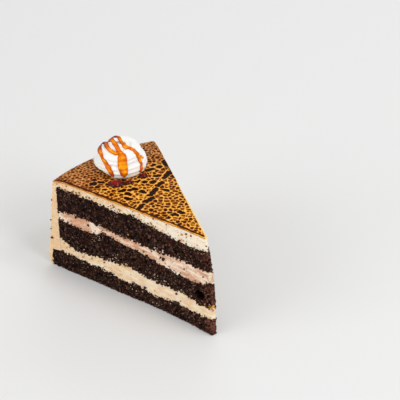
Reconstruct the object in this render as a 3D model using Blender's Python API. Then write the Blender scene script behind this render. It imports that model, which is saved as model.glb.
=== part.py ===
"""A slice of layer cake: three dark sponges, two cream fillings, a combed cream coat,
a thin caramel glaze and a piped cream rosette with caramel poured over it.

The slice stands on its flat underside. Its tip points to +X, the combed outer wall faces -X,
and the two cut faces look towards -Y (front) and +Y (rear). The origin is the middle of its
bounding box on the ground. Lengths are in metres.
"""

import math

import bmesh
import bpy
from mathutils import Matrix, Vector, noise
from mathutils.bvhtree import BVHTree

MM = 0.001

# The wedge, as it was cut from the round cake
SLICE_ANGLE = math.radians(39.2)
HALF_ANGLE = SLICE_ANGLE / 2
TOP_HEIGHT = 64.5 * MM
SPONGE_RADIUS = 105.0 * MM
BOTTOM_SPONGE_RADIUS = 111.6 * MM
APEX_X = 53.35 * MM
GAP = 0.3 * MM

# The tip is a narrow facet, and its foot reaches further out than its top
TIP_START = 1.2 * MM
TIP_LEAN = 8.6 * MM
TIP_LEAN_POWER = 2.5
TIP_LEAN_REACH = 42.0 * MM
TIP_SPREAD = 2.6 * MM

# The top face falls a little towards the rim and the tip
RIM_RADIUS = 108.0 * MM
RIM_FALL = 2.2 * MM
RIM_FALL_REACH = 14.0 * MM
TIP_FALL = 0.7 * MM
TIP_FALL_REACH = 20.0 * MM

# Glaze, and its beads of caramel: distance from the apex, offset to the rear, radius, height
GLAZE_THICKNESS = 0.9 * MM
GLAZE_RADIUS = 107.0 * MM
BEAD_SINK = 0.45 * MM
CARAMEL_BEADS = (
    (72.9 * MM, -10.6 * MM, 3.7 * MM, 2.7 * MM),
    (69.8 * MM, -3.7 * MM, 2.1 * MM, 1.7 * MM),
    (70.3 * MM, 7.2 * MM, 2.3 * MM, 2.0 * MM),
)

# Combed outer wall: (height, radius) pairs in millimetres, then the comb's teeth
WALL_OUTLINE = ((0, 112.6), (3, 113.8), (7, 114.3), (14, 113.3), (30, 111.4), (50, 109.3), (62, 107.8))
WALL_TOP = 60.6 * MM
COMB_PITCH = 4.2 * MM
COMB_DEPTH = 0.9 * MM
COMB_FADE = 3.0 * MM

# Boundaries between the layers along the front cut face, bottom to top, as
# (distance from the apex, height) in millimetres, each with its mean height at the rear
LAYER_BOUNDARIES = {
    "bottom_sponge_top": (10.3, (
        (0, 12.4), (4, 10.9), (12, 9.5), (22, 10.0), (30, 8.2), (38, 7.6), (44, 9.4), (50, 11.4),
        (56, 9.2), (63, 9.6), (72, 11.4), (90, 12.0), (104, 12.5), (112, 13.4),
    )),
    "middle_sponge_foot": (19.4, (
        (0, 21.8), (3, 20.4), (6, 18.6), (9.5, 17.7), (13, 19.4), (28, 19.3), (40, 19.2), (48, 21.4),
        (55, 22.8), (63, 20.8), (78, 20.0), (88, 18.2), (97, 19.8), (106, 23.6),
    )),
    "middle_sponge_top": (34.6, (
        (0, 36.6), (4, 33.8), (8, 32.0), (12, 31.0), (22, 31.5), (32, 32.8), (42, 34.8), (52, 35.5),
        (62, 36.6), (72, 38.2), (79, 35.2), (88, 34.6), (98, 35.6), (106, 36.4),
    )),
    "top_sponge_foot": (42.4, (
        (0, 43.8), (3, 42.9), (8, 42.8), (18, 42.8), (30, 42.0), (38, 41.3), (50, 42.0), (60, 42.2),
        (70, 43.1), (86, 43.5), (98, 42.8), (106, 41.9),
    )),
    "top_sponge_top": (57.2, (
        (0, 56.2), (5, 54.8), (10, 54.2), (20, 54.5), (30, 55.5), (40, 56.8), (50, 58.8), (57, 58.2),
        (63, 57.2), (72, 58.0), (84, 58.2), (92, 57.8), (100, 58.2), (106, 58.6),
    )),
}
REAR_WAVE = 1.6 * MM
REAR_WAVE_LENGTH = 17.0 * MM

# Relief on the cut faces: what all layers share, and what each adds between its boundaries
SHARED_RELIEF = 0.25 * MM
SHARED_RELIEF_SIZE = 9.0 * MM
SPONGE_RELIEF = 0.7 * MM
CREAM_RELIEF = 0.15 * MM
OWN_RELIEF_SIZE = 3.4 * MM
RELIEF_TIP_REACH = 14.0 * MM

# How many steps the layers' meshes have along the slice, across it and up each layer
STATIONS = 36
ANGLE_STEPS = 6
SPONGE_ROWS = 5
FILLING_ROWS = 2
COMB_ROWS_PER_TOOTH = 4
INNER_WALL_ROWS = 8
GLAZE_STATIONS = 20

# Rosette: a ribbed rope of cream laid in a ring and wound up to the middle, as
# (turns, radius of the ring, height of the rope's middle, the rope's own radius), in millimetres
ROSETTE_FROM_APEX = 85.9 * MM
ROSETTE_Y = 2.2 * MM
ROPE_START_ANGLE = math.radians(-150)
ROPE_PATH = (
    (0.0, 12.0, 3.6, 2.4), (0.06, 11.7, 4.6, 4.8), (0.25, 9.9, 5.0, 5.2), (0.65, 9.5, 5.2, 5.5),
    (1.0, 8.6, 9.0, 5.4), (1.4, 7.4, 10.6, 5.4), (1.8, 5.4, 12.2, 5.2), (2.15, 2.6, 13.5, 4.8),
    (2.4, 0.4, 14.6, 4.1), (2.5, 0.0, 15.2, 3.4),
)
ROPE_RIBS = 12
ROPE_RIB_DEPTH = 0.12
ROPE_SIDES = 48
ROPE_STEPS = 90
CORE_RADIUS = 9.0 * MM
CORE_TOP_RADIUS = 5.0 * MM
CORE_TOP = 12.5 * MM
CORE_FOOT = -1.5 * MM
CORE_SIDES = 24
ROSETTE_VOXEL = 0.75 * MM
SEAT_DEPTH = 9.0 * MM
SEAT_OVERHANG = 6.0 * MM
ROSETTE_TRIANGLES = 2600

# Strands of caramel on the rosette: points near its surface, about its foot, each with the
# radius of the strand's round back there, in millimetres
STRAND_PROUD = 0.75 * MM
STRAND_STEP = 2.0 * MM
STRAND_SIDES = 8
STRANDS = (
    ((8.7, -12.1, 4.4, 1.2), (7.7, -12.3, 5.9, 1.4), (5.4, -12.7, 8.1, 1.4), (2.9, -12.5, 10.2, 1.3),
     (-0.3, -11.9, 11.8, 1.2), (-4.4, -10.8, 12.2, 1.2), (-8.0, -8.4, 11.6, 1.1),
     (-10.2, -5.9, 12.2, 1.0), (-9.3, -4.3, 13.8, 1.1), (-4.2, -7.2, 15.7, 1.1),
     (-0.5, -8.0, 15.9, 1.1), (2.7, -7.9, 15.7, 1.1), (5.2, -7.7, 14.9, 1.2), (7.4, -6.6, 14.3, 1.3)),
    ((13.2, -6.9, 4.4, 1.8), (12.5, -6.8, 6.9, 2.4), (11.4, -6.6, 9.4, 3.0), (10.0, -6.0, 11.8, 3.0),
     (8.9, -5.1, 13.9, 2.4), (7.2, -4.8, 15.5, 1.4), (5.0, -4.9, 16.6, 1.2), (2.7, -4.6, 17.5, 1.2),
     (-0.2, -3.9, 18.1, 1.3), (-3.5, -3.3, 17.7, 1.2), (-7.5, -2.0, 16.0, 1.3),
     (-8.2, 0.4, 16.0, 1.2), (-6.5, 1.8, 17.0, 1.0), (-2.0, 1.5, 18.4, 1.1), (1.5, 0.2, 18.6, 1.2),
     (4.8, -0.2, 17.7, 1.4), (7.5, 2.2, 16.1, 1.2), (9.2, 2.6, 14.6, 1.2), (11.3, 4.3, 11.5, 1.5),
     (12.3, 5.3, 9.2, 1.2), (13.1, 4.9, 7.7, 1.0), (13.9, 4.4, 5.7, 1.1), (14.2, 3.8, 4.8, 1.4)),
    ((11.2, 4.9, 11.3, 1.1), (10.6, 7.0, 10.4, 1.0), (10.3, 8.9, 8.6, 1.0)),
)

# Colour and roughness of each part
SPONGE_FINISH = ((0.020, 0.010, 0.007), 0.9)
LOWER_FILLING_FINISH = ((0.82, 0.67, 0.43), 0.5)
UPPER_FILLING_FINISH = ((0.86, 0.54, 0.37), 0.5)
ICING_FINISH = ((0.90, 0.77, 0.57), 0.5)
GLAZE_FINISH = ((0.52, 0.17, 0.02), 0.12)
ROSETTE_FINISH = ((0.94, 0.90, 0.85), 0.45)


def clear_scene():
    """Empties the file, so that the script can be run again in the same one."""
    for obj in list(bpy.data.objects):
        bpy.data.objects.remove(obj)


def smooth_between(points, at):
    """Second value at one first value, on a smooth curve through the points."""
    last = len(points) - 1
    at = min(max(at, points[0][0]), points[last][0])
    i = max(k for k in range(last) if points[k][0] <= at)
    before, start, end, after = (points[min(max(k, 0), last)] for k in (i - 1, i, i + 1, i + 2))
    span = end[0] - start[0]
    slope_in = (end[1] - before[1]) / (end[0] - before[0]) * span
    slope_out = (after[1] - start[1]) / (after[0] - start[0]) * span
    t = (at - start[0]) / span
    return (
        (2 * t**3 - 3 * t**2 + 1) * start[1]
        + (t**3 - 2 * t**2 + t) * slope_in
        + (3 * t**2 - 2 * t**3) * end[1]
        + (t**3 - t**2) * slope_out
    )


def boundary(name):
    """A function for the height of one layer boundary at a distance and an angle: its outline
    at the front cut face, blended into a gentle wave at the rear one."""
    rear_height, outline = LAYER_BOUNDARIES[name]

    def height(distance, angle):
        front = smooth_between(outline, distance / MM) * MM
        wave = noise.noise(Vector((distance / REAR_WAVE_LENGTH, rear_height, 0.5)))
        rear = rear_height * MM + REAR_WAVE * wave
        share = (angle + HALF_ANGLE) / SLICE_ANGLE
        share = share * share * (3 - 2 * share)
        return front + (rear - front) * share

    return height


def top_surface(distance):
    """Height of the glaze's upper face."""
    rim = max(0.0, (distance - RIM_RADIUS + RIM_FALL_REACH) / RIM_FALL_REACH)
    tip = max(0.0, 1 - distance / TIP_FALL_REACH)
    return TOP_HEIGHT - RIM_FALL * rim**2 - TIP_FALL * tip**2


def icing_surface(distance):
    """Height of the cream's upper face, just under the glaze."""
    return top_surface(distance) - GLAZE_THICKNESS - GAP


def place(distance, angle, height):
    """The point at a distance from the apex, an angle from the middle line and a height.
    Near the tip the lower layers reach further out, and end in a wider facet."""
    lean = 1 - min(1.0, height / TOP_HEIGHT) ** TIP_LEAN_POWER
    lean *= max(0.0, 1 - distance / TIP_LEAN_REACH) ** 2
    return Vector((
        APEX_X - distance * math.cos(angle) + TIP_LEAN * lean,
        (distance + TIP_SPREAD * lean) * math.sin(angle),
        height,
    ))


def coherent(point, size, seed):
    """A smooth random value, about -1 to 1, of a point on a cut face."""
    sample = Vector((point.x / size, point.z / size, seed))
    return noise.noise(sample) + 0.5 * noise.noise(sample * 2.1)


def roughened(point, distance, side, own=0.0):
    """A point of a cut face moved in or out: side -1 is the front and 1 the rear, and own is
    the depth that its layer adds there to the relief that all layers share."""
    shift = SHARED_RELIEF * coherent(point, SHARED_RELIEF_SIZE, side)
    shift += own * coherent(point, OWN_RELIEF_SIZE, 5 + side)
    shift *= min(1.0, distance / RELIEF_TIP_REACH)
    return point + shift * Vector((math.sin(HALF_ANGLE), side * math.cos(HALF_ANGLE), 0.0))


def add_mesh_object(name, shape, finish):
    """Makes the named object of a bmesh, with a material of its own."""
    mesh = bpy.data.meshes.new(name)
    bmesh.ops.recalc_face_normals(shape, faces=shape.faces)
    shape.to_mesh(mesh)
    shape.free()
    obj = bpy.data.objects.new(name, mesh)
    bpy.context.scene.collection.objects.link(obj)
    give_material(obj, finish)
    return obj


def give_material(obj, finish):
    """Gives an object one plain material of its own."""
    colour, roughness = finish
    material = bpy.data.materials.new(obj.name)
    material.use_nodes = True
    shader = material.node_tree.nodes["Principled BSDF"]
    shader.inputs["Base Color"].default_value = (*colour, 1.0)
    shader.inputs["Roughness"].default_value = roughness
    shader.inputs["Metallic"].default_value = 0.0
    obj.data.materials.clear()
    obj.data.materials.append(material)


def apply_modifiers(obj):
    """Replaces an object's mesh with the result of its modifiers."""
    bpy.context.view_layer.update()
    graph = bpy.context.evaluated_depsgraph_get()
    result = bpy.data.meshes.new_from_object(obj.evaluated_get(graph))
    obj.modifiers.clear()
    obj.data = result


def combine(obj, operation, others):
    """Joins other objects to obj, or cuts them from it, with one Boolean, and removes them."""
    group = bpy.data.collections.new(obj.name + "_others")
    bpy.context.scene.collection.children.link(group)
    for other in others:
        bpy.context.scene.collection.objects.unlink(other)
        group.objects.link(other)
    boolean = obj.modifiers.new("combine", "BOOLEAN")
    boolean.operation = operation
    boolean.operand_type = "COLLECTION"
    boolean.collection = group
    boolean.solver = "MANIFOLD"
    apply_modifiers(obj)
    for other in others:
        bpy.data.objects.remove(other)
    bpy.data.collections.remove(group)


def columns():
    """The angles of the meshes' columns, from the front cut face to the rear one."""
    return [-HALF_ANGLE + SLICE_ANGLE * j / ANGLE_STEPS for j in range(ANGLE_STEPS + 1)]


def stations(end, count=STATIONS):
    """Distances of the meshes' rows from the apex."""
    return [TIP_START + (end - TIP_START) * i / count for i in range(count + 1)]


def side_of_column(j):
    """-1 for the front cut face, 1 for the rear one and 0 between them."""
    return (j == ANGLE_STEPS) - (j == 0)


def wedge_between(distances, lower, upper, rows, depth):
    """A closed wedge between two height functions, as a bmesh. Its cut faces are roughened, to
    a depth of its own that fades out at both heights, or smooth where depth is None."""
    body = bmesh.new()
    angles = columns()
    verts = {}
    for i, distance in enumerate(distances):
        for j, angle in enumerate(angles):
            low, high = lower(distance, angle), upper(distance, angle)
            for k in range(rows + 1):
                if 0 < i < len(distances) - 1 and 0 < j < ANGLE_STEPS and 0 < k < rows:
                    continue
                share = k / rows
                point = place(distance, angle, low + (high - low) * share)
                side = side_of_column(j)
                if side and depth is not None:
                    point = roughened(point, distance, side, depth * math.sin(math.pi * share))
                verts[i, j, k] = body.verts.new(point)

    def patch(first, second, at):
        for a in range(first):
            for b in range(second):
                corners = [verts[at(a + u, b + v)] for u, v in ((0, 0), (1, 0), (1, 1), (0, 1))]
                body.faces.new((corners[0], corners[1], corners[2]))
                body.faces.new((corners[0], corners[2], corners[3]))

    last = len(distances) - 1
    for k in (0, rows):
        patch(last, ANGLE_STEPS, lambda a, b: (a, b, k))
    for j in (0, ANGLE_STEPS):
        patch(last, rows, lambda a, b: (a, j, b))
    for i in (0, last):
        patch(ANGLE_STEPS, rows, lambda a, b: (i, a, b))
    return body


def make_sponge(name, foot, top, outer=()):
    """One sponge between two boundaries, or from the ground where foot is None. outer holds
    the distances of further rows past the common outer end."""
    body = wedge_between(
        stations(SPONGE_RADIUS) + list(outer),
        (lambda s, a: foot(s, a) + GAP / 2) if foot else (lambda s, a: 0.0),
        lambda s, a: top(s, a) - GAP / 2,
        SPONGE_ROWS,
        SPONGE_RELIEF,
    )
    return add_mesh_object(name, body, SPONGE_FINISH)


def make_filling(name, foot, top, finish):
    """One cream filling between two boundaries."""
    body = wedge_between(
        stations(SPONGE_RADIUS),
        lambda s, a: foot(s, a) + GAP / 2,
        lambda s, a: top(s, a) - GAP / 2,
        FILLING_ROWS,
        CREAM_RELIEF,
    )
    return add_mesh_object(name, body, finish)


def wall_radius(height):
    """Radius of the combed wall at a height: its outline, less the groove of each tooth."""
    outline = smooth_between(WALL_OUTLINE, height / MM) * MM
    tooth = (0.5 + 0.5 * math.cos(2 * math.pi * height / COMB_PITCH)) ** 2
    fade = min(1.0, height / COMB_FADE, (WALL_TOP - height) / COMB_FADE)
    return outline - COMB_DEPTH * tooth * max(0.0, fade)


def icing_sides(angle, over_bottom_sponge, under_icing):
    """The cream coat's two sides in the upright plane at one angle, each from the ground to
    the tip as (distance, height): its outside up the combed wall and along the top, and its
    inside over the bottom sponge, up the wall and along the top sponge."""
    rows = round(WALL_TOP / COMB_PITCH * COMB_ROWS_PER_TOOTH)
    heights = [WALL_TOP * k / rows for k in range(rows + 1)]
    outside = [(wall_radius(height), height) for height in heights]
    outside.append((GLAZE_RADIUS + GAP, icing_surface(GLAZE_RADIUS)))
    outside += [(s, icing_surface(s)) for s in reversed(stations(SPONGE_RADIUS))]
    inner, foot = SPONGE_RADIUS + GAP, BOTTOM_SPONGE_RADIUS + GAP
    shelf = over_bottom_sponge(inner, angle) + GAP
    ceiling = under_icing(SPONGE_RADIUS, angle) + GAP / 2
    inside = [(foot, 0.0), (foot, over_bottom_sponge(foot, angle) + GAP)]
    for k in range(INNER_WALL_ROWS + 1):
        inside.append((inner, shelf + (ceiling - shelf) * k / INNER_WALL_ROWS))
    inside += [(s, under_icing(s, angle) + GAP / 2) for s in reversed(stations(SPONGE_RADIUS))]
    return outside, inside


def zip_sides(body, one, two):
    """Fills the strip between two rows of vertices, always across the shorter diagonal."""
    a, b = 0, 0
    while a < len(one) - 1 or b < len(two) - 1:
        forward = b == len(two) - 1
        if not forward and a < len(one) - 1:
            forward = (one[a + 1].co - two[b].co).length < (one[a].co - two[b + 1].co).length
        if forward:
            body.faces.new((one[a], one[a + 1], two[b]))
            a += 1
        else:
            body.faces.new((one[a], two[b + 1], two[b]))
            b += 1


def make_icing(over_bottom_sponge, under_icing):
    """The cream coat over the top and down the outer wall, in one piece."""
    body = bmesh.new()
    sections = []
    for j, angle in enumerate(columns()):
        sides = []
        for outline in icing_sides(angle, over_bottom_sponge, under_icing):
            points = [place(distance, angle, height) for distance, height in outline]
            if side_of_column(j):
                points = [
                    roughened(point, distance, side_of_column(j))
                    for point, (distance, _) in zip(points, outline)
                ]
            sides.append([body.verts.new(point) for point in points])
        sections.append(sides)
    for (outside, inside), (next_outside, next_inside) in zip(sections, sections[1:]):
        left, right = outside + inside[::-1], next_outside + next_inside[::-1]
        for k in range(len(left)):
            n = (k + 1) % len(left)
            body.faces.new((left[k], right[k], right[n]))
            body.faces.new((left[k], right[n], left[n]))
    for outside, inside in (sections[0], sections[-1]):
        zip_sides(body, outside, inside)
    return add_mesh_object("icing", body, ICING_FINISH)


def make_bead(distance, offset, radius, height):
    """One low dome of caramel, with its foot a little below the glaze's face."""
    dome = bmesh.new()
    bmesh.ops.create_uvsphere(dome, u_segments=14, v_segments=8, radius=1.0)
    for vert in dome.verts:
        vert.co.x *= radius
        vert.co.y *= radius
        vert.co.z *= height if vert.co.z > 0 else BEAD_SINK
    foot = top_surface(math.hypot(distance, offset))
    bmesh.ops.translate(dome, verts=dome.verts, vec=(APEX_X - distance, offset, foot))
    return add_mesh_object("bead", dome, GLAZE_FINISH)


def make_glaze():
    """The thin caramel glaze on top, with its beads of caramel fused on."""
    body = wedge_between(
        stations(GLAZE_RADIUS, GLAZE_STATIONS),
        lambda s, a: top_surface(s) - GLAZE_THICKNESS,
        lambda s, a: top_surface(s),
        1,
        None,
    )
    glaze = add_mesh_object("caramel_glaze", body, GLAZE_FINISH)
    combine(glaze, "UNION", [make_bead(*bead) for bead in CARAMEL_BEADS])
    give_material(glaze, GLAZE_FINISH)
    return glaze


def add_tube(shape, middles, radii, sides, ribs=0, rib_depth=0.0):
    """Adds a closed tube along a path to a bmesh, its section ribbed where ribs are given."""
    across = Vector((1.0, 0.0, 0.0))
    rings = []
    for k, (middle, radius) in enumerate(zip(middles, radii)):
        along = (middles[min(k + 1, len(middles) - 1)] - middles[max(k - 1, 0)]).normalized()
        level = along.cross(Vector((0.0, 0.0, 1.0)))
        if level.length > 0.2:
            across = level.normalized()
        upward = across.cross(along).normalized()
        ring = []
        for n in range(sides):
            turn = 2 * math.pi * n / sides
            reach = radius * (1 + rib_depth * math.cos(ribs * turn))
            ring.append(shape.verts.new(
                middle + (across * math.cos(turn) + upward * math.sin(turn)) * reach
            ))
        rings.append(ring)
    for one, two in zip(rings, rings[1:]):
        for n in range(sides):
            m = (n + 1) % sides
            shape.faces.new((one[n], one[m], two[m], two[n]))
    shape.faces.new(rings[0])
    shape.faces.new(rings[-1])


def rope_path():
    """The rope's middles about the rosette's foot, and its radii."""
    middles, radii = [], []
    for k in range(ROPE_STEPS + 1):
        turns = ROPE_PATH[-1][0] * k / ROPE_STEPS
        ring, height, radius = (
            smooth_between([(row[0], row[value]) for row in ROPE_PATH], turns) * MM
            for value in (1, 2, 3)
        )
        angle = ROPE_START_ANGLE + 2 * math.pi * turns
        middles.append(Vector((ring * math.cos(angle), ring * math.sin(angle), height)))
        radii.append(radius)
    return middles, radii


def keep_largest_shell(obj):
    """Drops loose scraps and sealed hollows, keeping the shell with the most vertices."""
    shape = bmesh.new()
    shape.from_mesh(obj.data)
    unseen = set(shape.verts)
    shells = []
    while unseen:
        shell = {unseen.pop()}
        edge = list(shell)
        while edge:
            near = {link.other_vert(vert) for vert in edge for link in vert.link_edges}
            edge = list(near - shell)
            shell |= near
        unseen -= shell
        shells.append(shell)
    keep = max(shells, key=len)
    bmesh.ops.delete(shape, geom=[vert for vert in shape.verts if vert not in keep])
    shape.to_mesh(obj.data)
    shape.free()


def cut_to_glaze(obj):
    """Cuts an object off just above the glaze's upper face, parallel to its facets."""
    body = wedge_between(
        stations(GLAZE_RADIUS, GLAZE_STATIONS) + [GLAZE_RADIUS + SEAT_OVERHANG],
        lambda s, a: top_surface(s) - SEAT_DEPTH,
        lambda s, a: top_surface(s) + GAP,
        1,
        None,
    )
    combine(obj, "DIFFERENCE", [add_mesh_object("seat", body, ROSETTE_FINISH)])


def make_swirl(foot):
    """The piped cream alone: the rope and the cream that fills its middle, as one skin."""
    rope = bmesh.new()
    middles, radii = rope_path()
    add_tube(rope, middles, radii, ROPE_SIDES, ROPE_RIBS, ROPE_RIB_DEPTH)
    bmesh.ops.create_cone(
        rope,
        cap_ends=True,
        segments=CORE_SIDES,
        radius1=CORE_RADIUS,
        radius2=CORE_TOP_RADIUS,
        depth=CORE_TOP - CORE_FOOT,
        matrix=Matrix.Translation((0.0, 0.0, (CORE_TOP + CORE_FOOT) / 2)),
    )
    bmesh.ops.translate(rope, verts=rope.verts, vec=foot)
    swirl = add_mesh_object("cream_rosette", rope, ROSETTE_FINISH)
    skin = swirl.modifiers.new("skin", "REMESH")
    skin.mode = "VOXEL"
    skin.voxel_size = ROSETTE_VOXEL
    apply_modifiers(swirl)
    keep_largest_shell(swirl)
    thin = swirl.modifiers.new("thin", "DECIMATE")
    thin.ratio = ROSETTE_TRIANGLES / (2 * len(swirl.data.polygons))
    apply_modifiers(swirl)
    return swirl


def smooth_path(corners, step):
    """Points about a step apart on a smooth curve through the corners."""
    path = []
    last = len(corners) - 1
    for i in range(last):
        before, start, end, after = (
            corners[min(max(k, 0), last)] for k in (i - 1, i, i + 1, i + 2)
        )
        count = max(1, round((end - start).length / step))
        for k in range(count):
            t = k / count
            path.append(0.5 * (
                2 * start
                + (end - before) * t
                + (2 * before - 5 * start + 4 * end - after) * t**2
                + (3 * start - before - 3 * end + after) * t**3
            ))
    path.append(corners[last])
    return path


def make_strand(corners, surface, foot):
    """One strand of caramel, lying on the swirl where it is nearest to the corners."""
    middles, radii = [], []
    for x, y, z, radius in smooth_path([Vector(corner) * MM for corner in corners], STRAND_STEP):
        nearest, normal, _, _ = surface.find_nearest(foot + Vector((x, y, z)))
        middles.append(nearest + normal * (STRAND_PROUD - radius))
        radii.append(radius)
    inner = [(a + 2 * b + c) / 4 for a, b, c in zip(middles, middles[1:], middles[2:])]
    middles = [middles[0]] + inner + [middles[-1]]
    strand = bmesh.new()
    add_tube(strand, middles, radii, STRAND_SIDES)
    return add_mesh_object("strand", strand, ROSETTE_FINISH)


def make_rosette():
    """The piped rosette, with the poured strands of caramel fused on."""
    foot = Vector((APEX_X - ROSETTE_FROM_APEX, ROSETTE_Y, TOP_HEIGHT))
    rosette = make_swirl(foot)
    surface = BVHTree.FromPolygons(
        [vert.co for vert in rosette.data.vertices],
        [face.vertices for face in rosette.data.polygons],
    )
    combine(rosette, "UNION", [make_strand(corners, surface, foot) for corners in STRANDS])
    cut_to_glaze(rosette)
    keep_largest_shell(rosette)
    give_material(rosette, ROSETTE_FINISH)
    return rosette


def main():
    """Builds the slice from the ground up."""
    clear_scene()
    bottom_top = boundary("bottom_sponge_top")
    middle_foot = boundary("middle_sponge_foot")
    middle_top = boundary("middle_sponge_top")
    top_foot = boundary("top_sponge_foot")
    top_top = boundary("top_sponge_top")
    shelf = (SPONGE_RADIUS + BOTTOM_SPONGE_RADIUS) / 2
    make_sponge("sponge_bottom", None, bottom_top, (shelf, BOTTOM_SPONGE_RADIUS))
    make_filling("filling_lower", bottom_top, middle_foot, LOWER_FILLING_FINISH)
    make_sponge("sponge_middle", middle_foot, middle_top)
    make_filling("filling_upper", middle_top, top_foot, UPPER_FILLING_FINISH)
    make_sponge("sponge_top", top_foot, top_top)
    make_icing(bottom_top, top_top)
    make_glaze()
    make_rosette()


main()
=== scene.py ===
"""The looks of a slice of coffee toffee layer cake, dressed over its fixed frame.

Three dark sponges, two cream fillings, a combed cream coat, a mottled caramel glaze with beads
of caramel, and a piped cream rosette under strands of caramel. Each sub-assembly is a class that
holds its sizes, builds its meshes and dresses them. Lengths are in metres. The slice's tip
points to +X, its combed wall to -X, and its front cut face to -Y.
"""

import logging
import math
from collections.abc import Callable, Sequence
from dataclasses import dataclass, field
from enum import Enum

import bmesh
import bpy
import numpy as np
from mathutils import Euler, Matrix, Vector, noise
from mathutils.bvhtree import BVHTree
from mathutils.kdtree import KDTree


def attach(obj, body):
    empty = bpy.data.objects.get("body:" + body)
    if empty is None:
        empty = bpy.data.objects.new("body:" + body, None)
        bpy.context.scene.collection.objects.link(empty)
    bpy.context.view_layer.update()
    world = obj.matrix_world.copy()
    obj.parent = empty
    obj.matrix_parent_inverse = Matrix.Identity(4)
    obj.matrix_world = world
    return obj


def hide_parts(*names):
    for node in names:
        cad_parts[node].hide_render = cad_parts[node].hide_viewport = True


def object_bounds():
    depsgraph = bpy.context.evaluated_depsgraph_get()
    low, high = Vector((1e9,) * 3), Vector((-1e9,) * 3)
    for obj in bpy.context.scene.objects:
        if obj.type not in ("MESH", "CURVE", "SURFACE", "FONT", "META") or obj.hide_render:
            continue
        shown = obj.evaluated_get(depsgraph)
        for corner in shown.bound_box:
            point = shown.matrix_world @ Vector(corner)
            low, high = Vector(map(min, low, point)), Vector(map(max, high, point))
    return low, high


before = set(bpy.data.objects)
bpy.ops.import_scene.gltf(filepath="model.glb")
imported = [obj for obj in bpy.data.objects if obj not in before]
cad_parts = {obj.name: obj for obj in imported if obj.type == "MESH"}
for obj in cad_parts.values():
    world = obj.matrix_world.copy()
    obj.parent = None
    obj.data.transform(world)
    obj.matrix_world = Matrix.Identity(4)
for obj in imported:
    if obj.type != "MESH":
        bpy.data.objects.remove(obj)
CAD_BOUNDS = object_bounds()

log = logging.getLogger("slice")

MM = 0.001
BODY = "root"
# A share of a unit block this near to 0 or 1 lies on its side.
SNAP = 1e-4
# The usual distance from a point to the middle of its cell, in shares of the cell's size.
CELL_REACH = 0.45
# The least and the greatest share of its mean size that a crumb has each way.
UNEVEN = (0.7, 1.25)

Colour = tuple[float, float, float]
Pair = tuple[float, float]
Triple = tuple[float, float, float]
Quad = tuple[float, float, float, float]
Array = np.ndarray
Draw = np.random.Generator
Material = bpy.types.Material
Object = bpy.types.Object
Socket = bpy.types.NodeSocket
Value = Socket | float | tuple[float, ...]

# Where a Mix node has its inputs and its output for colours.
MIX_FACTOR, MIX_BELOW, MIX_ABOVE, MIX_RESULT = 0, 6, 7, 2


class Side(Enum):
    """The two cut faces, by the sign of their Y."""

    FRONT = -1
    REAR = 1


class Slot(Enum):
    """The record's material slots."""

    SPONGE = "sponge"
    LOWER_FILLING = "lower_filling"
    UPPER_FILLING = "upper_filling"
    ICING = "icing"
    GLAZE = "glaze"
    WHIPPED_CREAM = "whipped_cream"
    CARAMEL = "caramel"


def smooth_curve(points: Sequence[Pair], at: Array) -> Array:
    """Reads a smooth curve through points.

    Args:
        points: Pairs of a place and a value, the places rising.
        at: The places to read the curve at.

    Returns:
        The value at each place, held level past the ends.
    """
    place, value = np.array(points, float).T
    index = np.arange(len(place))
    ahead = np.minimum(index + 1, len(place) - 1)
    behind = np.maximum(index - 1, 0)
    slope = (value[ahead] - value[behind]) / (place[ahead] - place[behind])
    at = np.clip(at, place[0], place[-1])
    i = np.clip(np.searchsorted(place, at, side="right") - 1, 0, len(place) - 2)
    span = place[i + 1] - place[i]
    t = (at - place[i]) / span
    return (
        (2 * t**3 - 3 * t**2 + 1) * value[i]
        + (t**3 - 2 * t**2 + t) * slope[i] * span
        + (3 * t**2 - 2 * t**3) * value[i + 1]
        + (t**3 - t**2) * slope[i + 1] * span
    )


def ease(start: float, end: float, at: Array) -> Array:
    """Rises smoothly from 0 at the start to 1 at the end, or falls where end is below start."""
    t = np.clip((at - start) / (end - start), 0.0, 1.0)
    return t * t * (3 - 2 * t)


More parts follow.
